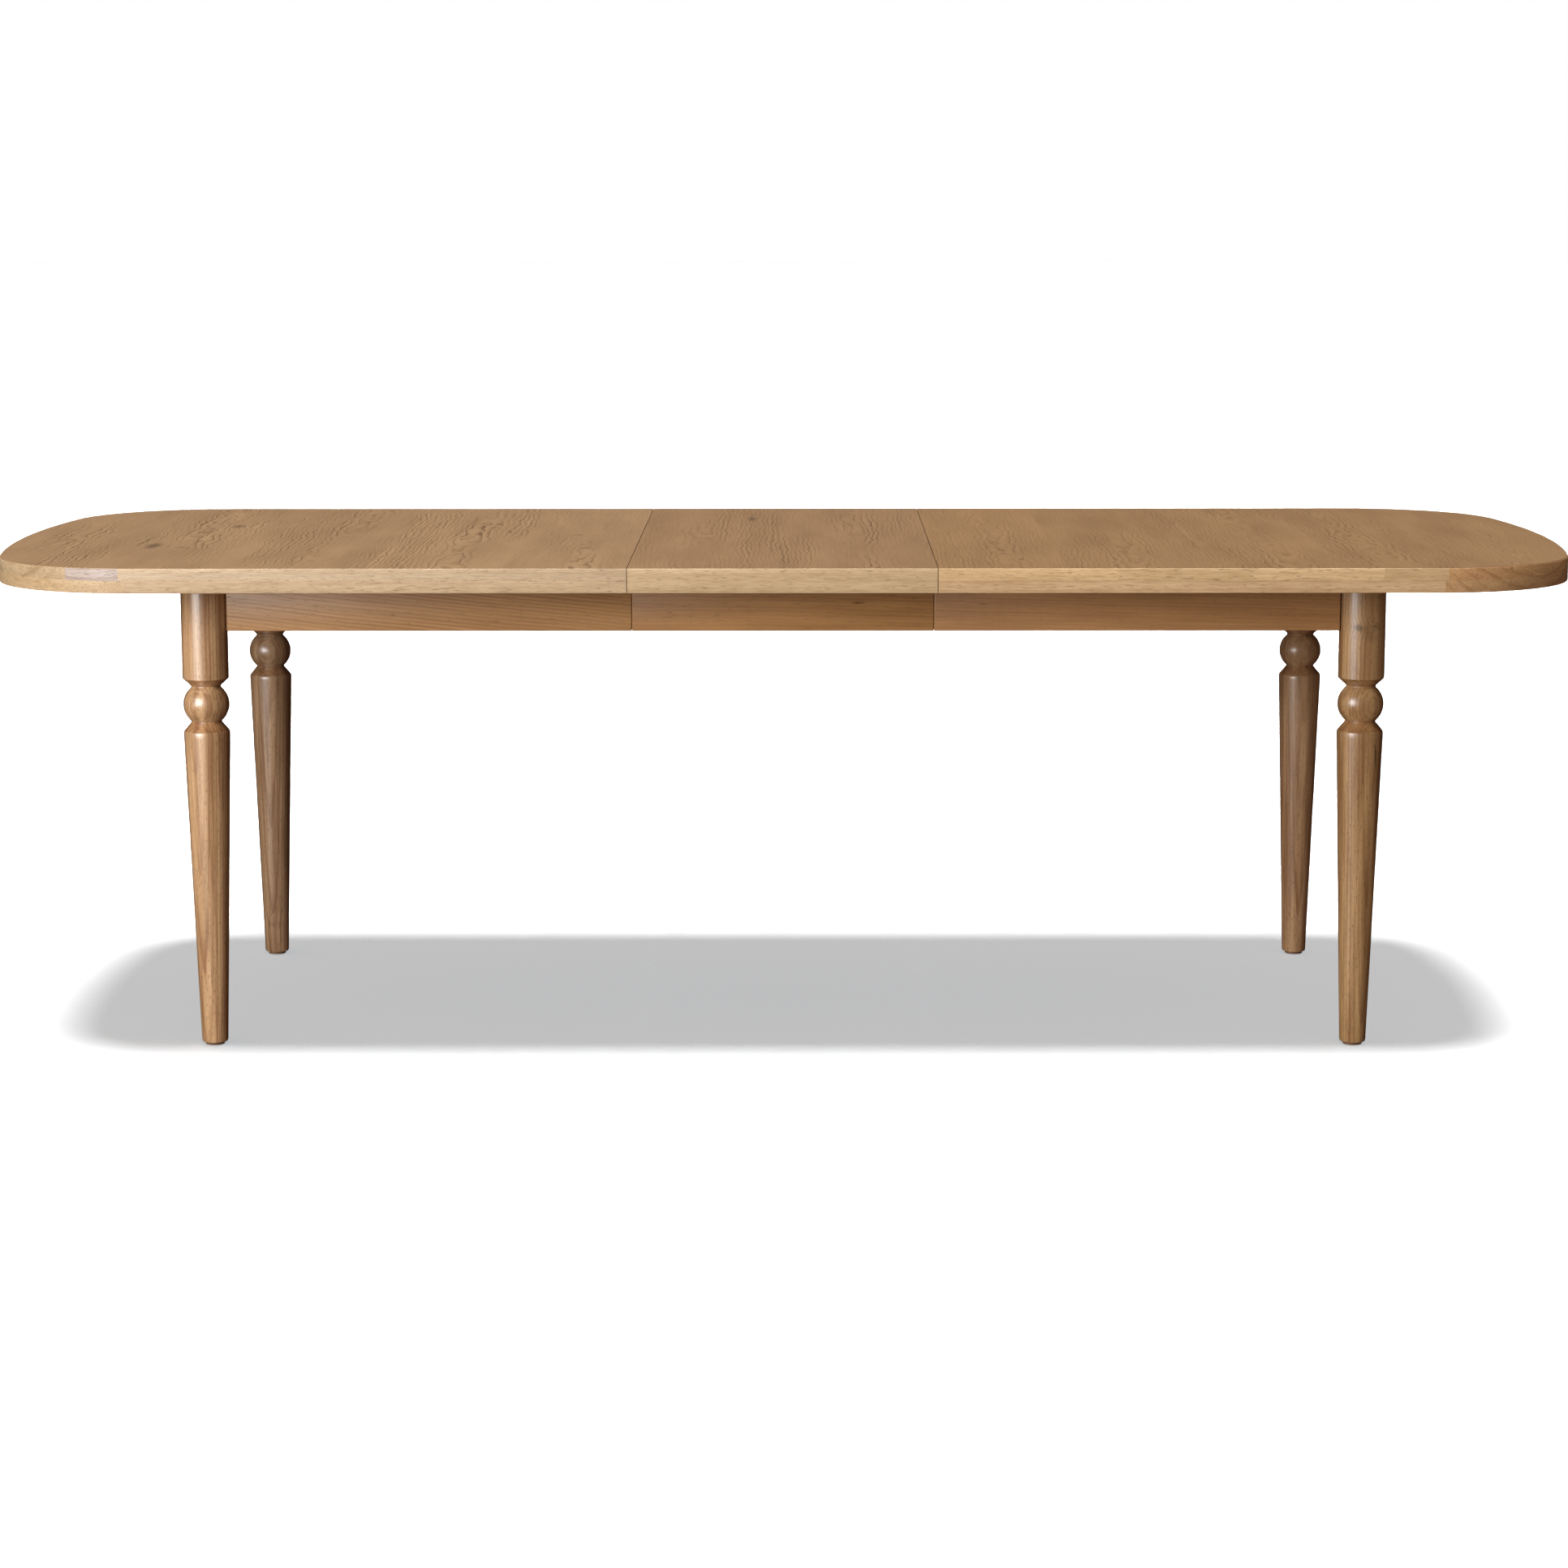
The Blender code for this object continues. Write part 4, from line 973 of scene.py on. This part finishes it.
def make_pin_holes():
    """Bores in both halves' lower cores, and pockets in the leaf's that let it lift off the pins."""
    cutters = {side: new_mesh() for side in ("left", "leaf", "right")}
    for name in sorted(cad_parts):
        if "_pin_" not in name:
            continue
        low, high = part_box(name)
        y, z = (low[1] + high[1]) / 2, (low[2] + high[2]) / 2
        radius = (high[2] - low[2]) / 2 + PIN_PLAY
        for side, half in (("left", -1), ("right", 1)):
            seam = half * PANEL_LOW.x
            add_rod(cutters[side], seam - BORE_DEPTH, seam + BORE_DEPTH, y, z, radius)
        seam = math.copysign(PANEL_LOW.x, low[0])
        wide = POCKET_HALF_WIDTH
        under, over = UNDER_Z - POCKET_LENGTH, z + wide
        corners = [(y - wide, under), (y + wide, under), (y + wide, over), (y - wide, over)]
        ends = (seam - POCKET_LENGTH, seam + POCKET_LENGTH)
        add_sweep(cutters["leaf"], [[(x, *corner) for corner in corners] for x in ends])
    for side, mesh in cutters.items():
        stamp(mesh, mesh.faces, (1, 0, 0), (0.3, 0.05, 0.03), 0)
        take_away(bpy.data.objects[side + "_lower_core"], mesh)


make_pin_holes()


# ---------------------------------------------------------------- screws


def screw_head(radius, height):
    """A domed head that faces down from z = 0, with a cross recess."""
    mesh = bmesh.new()
    profile = [(0, 0), (radius, 0), (radius, -0.3 * height), (0.9 * radius, -0.65 * height)]
    profile += [(0.7 * radius, -0.88 * height), (0.4 * radius, -0.97 * height), (0, -height)]
    add_lathe(mesh, profile, (0, 0), HOLE_STEPS)
    head = new_object("head", to_data(mesh, "head"))
    reach = RECESS_LENGTH / 2 * radius / HEAD_RADIUS
    wide = RECESS_WIDTH / 2
    arm = [(reach, wide), (wide, wide), (wide, reach)]
    outline = []
    for turn in range(4):
        around = Matrix.Rotation(turn * math.pi / 2, 2)
        outline += [around @ Vector(point) for point in arm]
    cross = bmesh.new()
    depths = (-2 * height, -0.35 * height)
    add_sweep(cross, [[(point.x, point.y, z) for point in outline] for z in depths])
    take_away(head, cross, 30.0)
    shape = head.data
    bpy.data.objects.remove(head)
    return shape


def make_screws(name, body, heads):
    """All the screw heads of one body: each is (shape, place, turn about the way it faces)."""
    mesh = bmesh.new()
    for shape, place, spin in heads:
        one = shape.copy()
        one.transform(Matrix.Translation(place) @ Matrix.Rotation(spin, 4, "Z"))
        mesh.from_mesh(one)
        bpy.data.meshes.remove(one)
    to_piece(mesh, name, body, STEEL, (), 30.0)


ROUND_HEAD = screw_head(HEAD_RADIUS, HEAD_HEIGHT)
FLUSH_HEAD = screw_head(FLUSH_RADIUS, FLUSH_HEIGHT)

# Which nodes are screwed on, and where the heads stand as shares of the node's length and width
ALONG_SLIDE = ((0.05, 0.5), (0.28, 0.5), (0.50, 0.5))
ALONG_RACK = ((0.04, 0.72), (0.22, 0.72), (0.42, 0.72))
ALONG_CLEAT = ((0.10, 0.5), (0.50, 0.5), (0.90, 0.5))
PLATE_CORNERS = ((0.14, 0.10), (0.14, 0.90), (0.86, 0.10), (0.86, 0.90))
BRIDGE_ENDS = ((0.15, 0.035), (0.85, 0.035), (0.15, 0.965), (0.85, 0.965))
SCREWED = {
    "left": {"slide": ALONG_SLIDE, "rack": ALONG_RACK, "latch_plate": PLATE_CORNERS},
    "right": {"slide": ALONG_SLIDE, "rack": ALONG_RACK, "keeper": PLATE_CORNERS},
    "leaf": {"cleat": ALONG_CLEAT, "latch_plate": PLATE_CORNERS, "keeper": PLATE_CORNERS},
    "centre": {"bridge_board": BRIDGE_ENDS},
}


def place_screws():
    """One piece of screw heads for each body."""
    dice = random.Random(97)
    for side, kinds in SCREWED.items():
        heads = []
        for name in sorted(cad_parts):
            kind = next((k for k in kinds if name.endswith(k)), None)
            elsewhere = side != "centre" and not name.startswith(side)
            if kind is None or elsewhere:
                continue
            low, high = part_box(name)
            plate = kind in ("latch_plate", "keeper")
            for shares in kinds[kind]:
                along, across = (1 - share if side == "right" else share for share in shares)
                x = low[0] + (high[0] - low[0]) * along
                y = low[1] + (high[1] - low[1]) * across
                z = PLATE_FACE_Z if plate else low[2]
                heads.append((FLUSH_HEAD if plate else ROUND_HEAD, (x, y, z), dice.uniform(0, math.pi)))
        body = side if side in ("leaf", "centre") else side + "_half"
        make_screws(side + "_screws", body, heads)


place_screws()


# ---------------------------------------------------------------- frame nodes that stay

NODE_MATERIALS = {
    "slide": SLIDE_WOOD, "beam": SLIDE_WOOD, "cleat": SLIDE_WOOD, "bridge_board": CROSS_WOOD,
    "corner_block": BLOCK_WOOD, "pin_1": SLIDE_WOOD, "pin_2": SLIDE_WOOD, "glide": DARK_NYLON,
    "rack": WHITE_NYLON, "equalizer_pinion": WHITE_NYLON, "hanger_bolt": STEEL, "latch_plate": STEEL,
    "latch_lever": STEEL, "keeper": STEEL, "pinion_axle": STEEL, "pinion_clip": STEEL,
}
for name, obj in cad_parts.items():
    for ending, material in NODE_MATERIALS.items():
        if name.endswith(ending):
            for slot in obj.material_slots:
                slot.material = material


# ---------------------------------------------------------------- stage


def aim(obj, target):
    """Point a light at a place."""
    obj.rotation_euler = (Vector(target) - obj.location).to_track_quat("-Z", "Y").to_euler()


def add_area(name, place, target, size, power):
    """A rectangular soft light."""
    light = bpy.data.lights.new(name, "AREA")
    light.shape = "RECTANGLE"
    light.size, light.size_y = size
    light.energy = power
    obj = new_object(name, light)
    obj.location = place
    aim(obj, target)
    return obj


def make_floor():
    """A wide pale floor. Bounced light and reflections don't see it, so its glow lights nothing."""
    mesh = bmesh.new()
    bmesh.ops.create_grid(mesh, x_segments=1, y_segments=1, size=FLOOR_HALF_SIZE)
    data = bpy.data.meshes.new("floor")
    mesh.to_mesh(data)
    mesh.free()
    data.materials.append(floor_paint())
    floor = new_object("floor", data)
    floor.visible_diffuse = False
    floor.visible_glossy = False
    return floor


def make_camera():
    """The camera, turned by yaw, pitch and roll in that order."""
    yaw, pitch, roll = (math.radians(a) for a in (CAMERA_YAW, CAMERA_PITCH, CAMERA_ROLL))
    forward = Vector((math.sin(yaw) * math.cos(pitch), math.cos(yaw) * math.cos(pitch), -math.sin(pitch)))
    right = Vector((math.cos(yaw), -math.sin(yaw), 0))
    up = right.cross(forward)
    turned_right = right * math.cos(roll) + up * math.sin(roll)
    turned_up = up * math.cos(roll) - right * math.sin(roll)
    basis = Matrix((turned_right, turned_up, -forward)).transposed().to_4x4()
    data = bpy.data.cameras.new("camera")
    data.lens = CAMERA_LENS
    data.sensor_width = SENSOR
    data.clip_end = FARTHEST
    camera = new_object("camera", data)
    camera.matrix_world = Matrix.Translation(CAMERA_PLACE) @ basis
    bpy.context.scene.camera = camera


def make_world():
    """A white surround that gives off only a little of the light that its whiteness would."""
    world = bpy.data.worlds.new("surround")
    world.use_nodes = True
    tree = world.node_tree
    background = tree.nodes["Background"]
    path = tree.nodes.new("ShaderNodeLightPath")
    shade = tree.nodes.new("ShaderNodeMix")
    shade.data_type = "RGBA"
    fill, white = [socket for socket in shade.inputs if socket.type == "RGBA"]
    fill.default_value = (*(SURROUND_FILL * c for c in SURROUND_WARMTH), 1.0)
    white.default_value = (1, 1, 1, 1)
    tree.links.new(path.outputs["Is Camera Ray"], shade.inputs["Factor"])
    mixed = [socket for socket in shade.outputs if socket.type == "RGBA"][0]
    tree.links.new(mixed, background.inputs["Color"])
    bpy.context.scene.world = world
    world.cycles_visibility.glossy = False


def add_sun(name, direction, spread, power, glossy=False):
    """Parallel light from a direction, softened by its spread."""
    light = bpy.data.lights.new(name, "SUN")
    light.energy = power
    light.angle = math.radians(spread)
    obj = new_object(name, light)
    azimuth, height = (math.radians(a) for a in direction)
    level = math.cos(height)
    away = Vector((math.sin(azimuth) * level, -math.cos(azimuth) * level, math.sin(height)))
    obj.rotation_euler = away.to_track_quat("Z", "Y").to_euler()
    obj.visible_glossy = glossy
    return obj


def link_light(light, stage_object, mode):
    """Light only the given object, or all but it."""
    receivers = bpy.data.collections.new(light.name + "_receivers")
    receivers.objects.link(stage_object)
    receivers.collection_objects[0].light_linking.link_state = mode
    light.light_linking.receiver_collection = receivers


floor = make_floor()
make_camera()
make_world()
key = add_area("key", KEY_PLACE, KEY_TARGET, KEY_SIZE, KEY_POWER)
window = add_sun("window", WINDOW_DIRECTION, WINDOW_SPREAD, WINDOW_POWER)
back = add_sun("back_fill", BACK_DIRECTION, BACK_SPREAD, BACK_POWER)
overhead = add_sun("overhead", OVERHEAD_DIRECTION, OVERHEAD_SPREAD, OVERHEAD_POWER, True)
floor_wash = add_sun("floor_wash", OVERHEAD_DIRECTION, OVERHEAD_SPREAD, FLOOR_WASH_POWER)
for light in (key, window, back):
    link_light(light, floor, "EXCLUDE")
link_light(floor_wash, floor, "INCLUDE")
bpy.context.scene.view_settings.view_transform = "Standard"

bpy.context.view_layer.update()
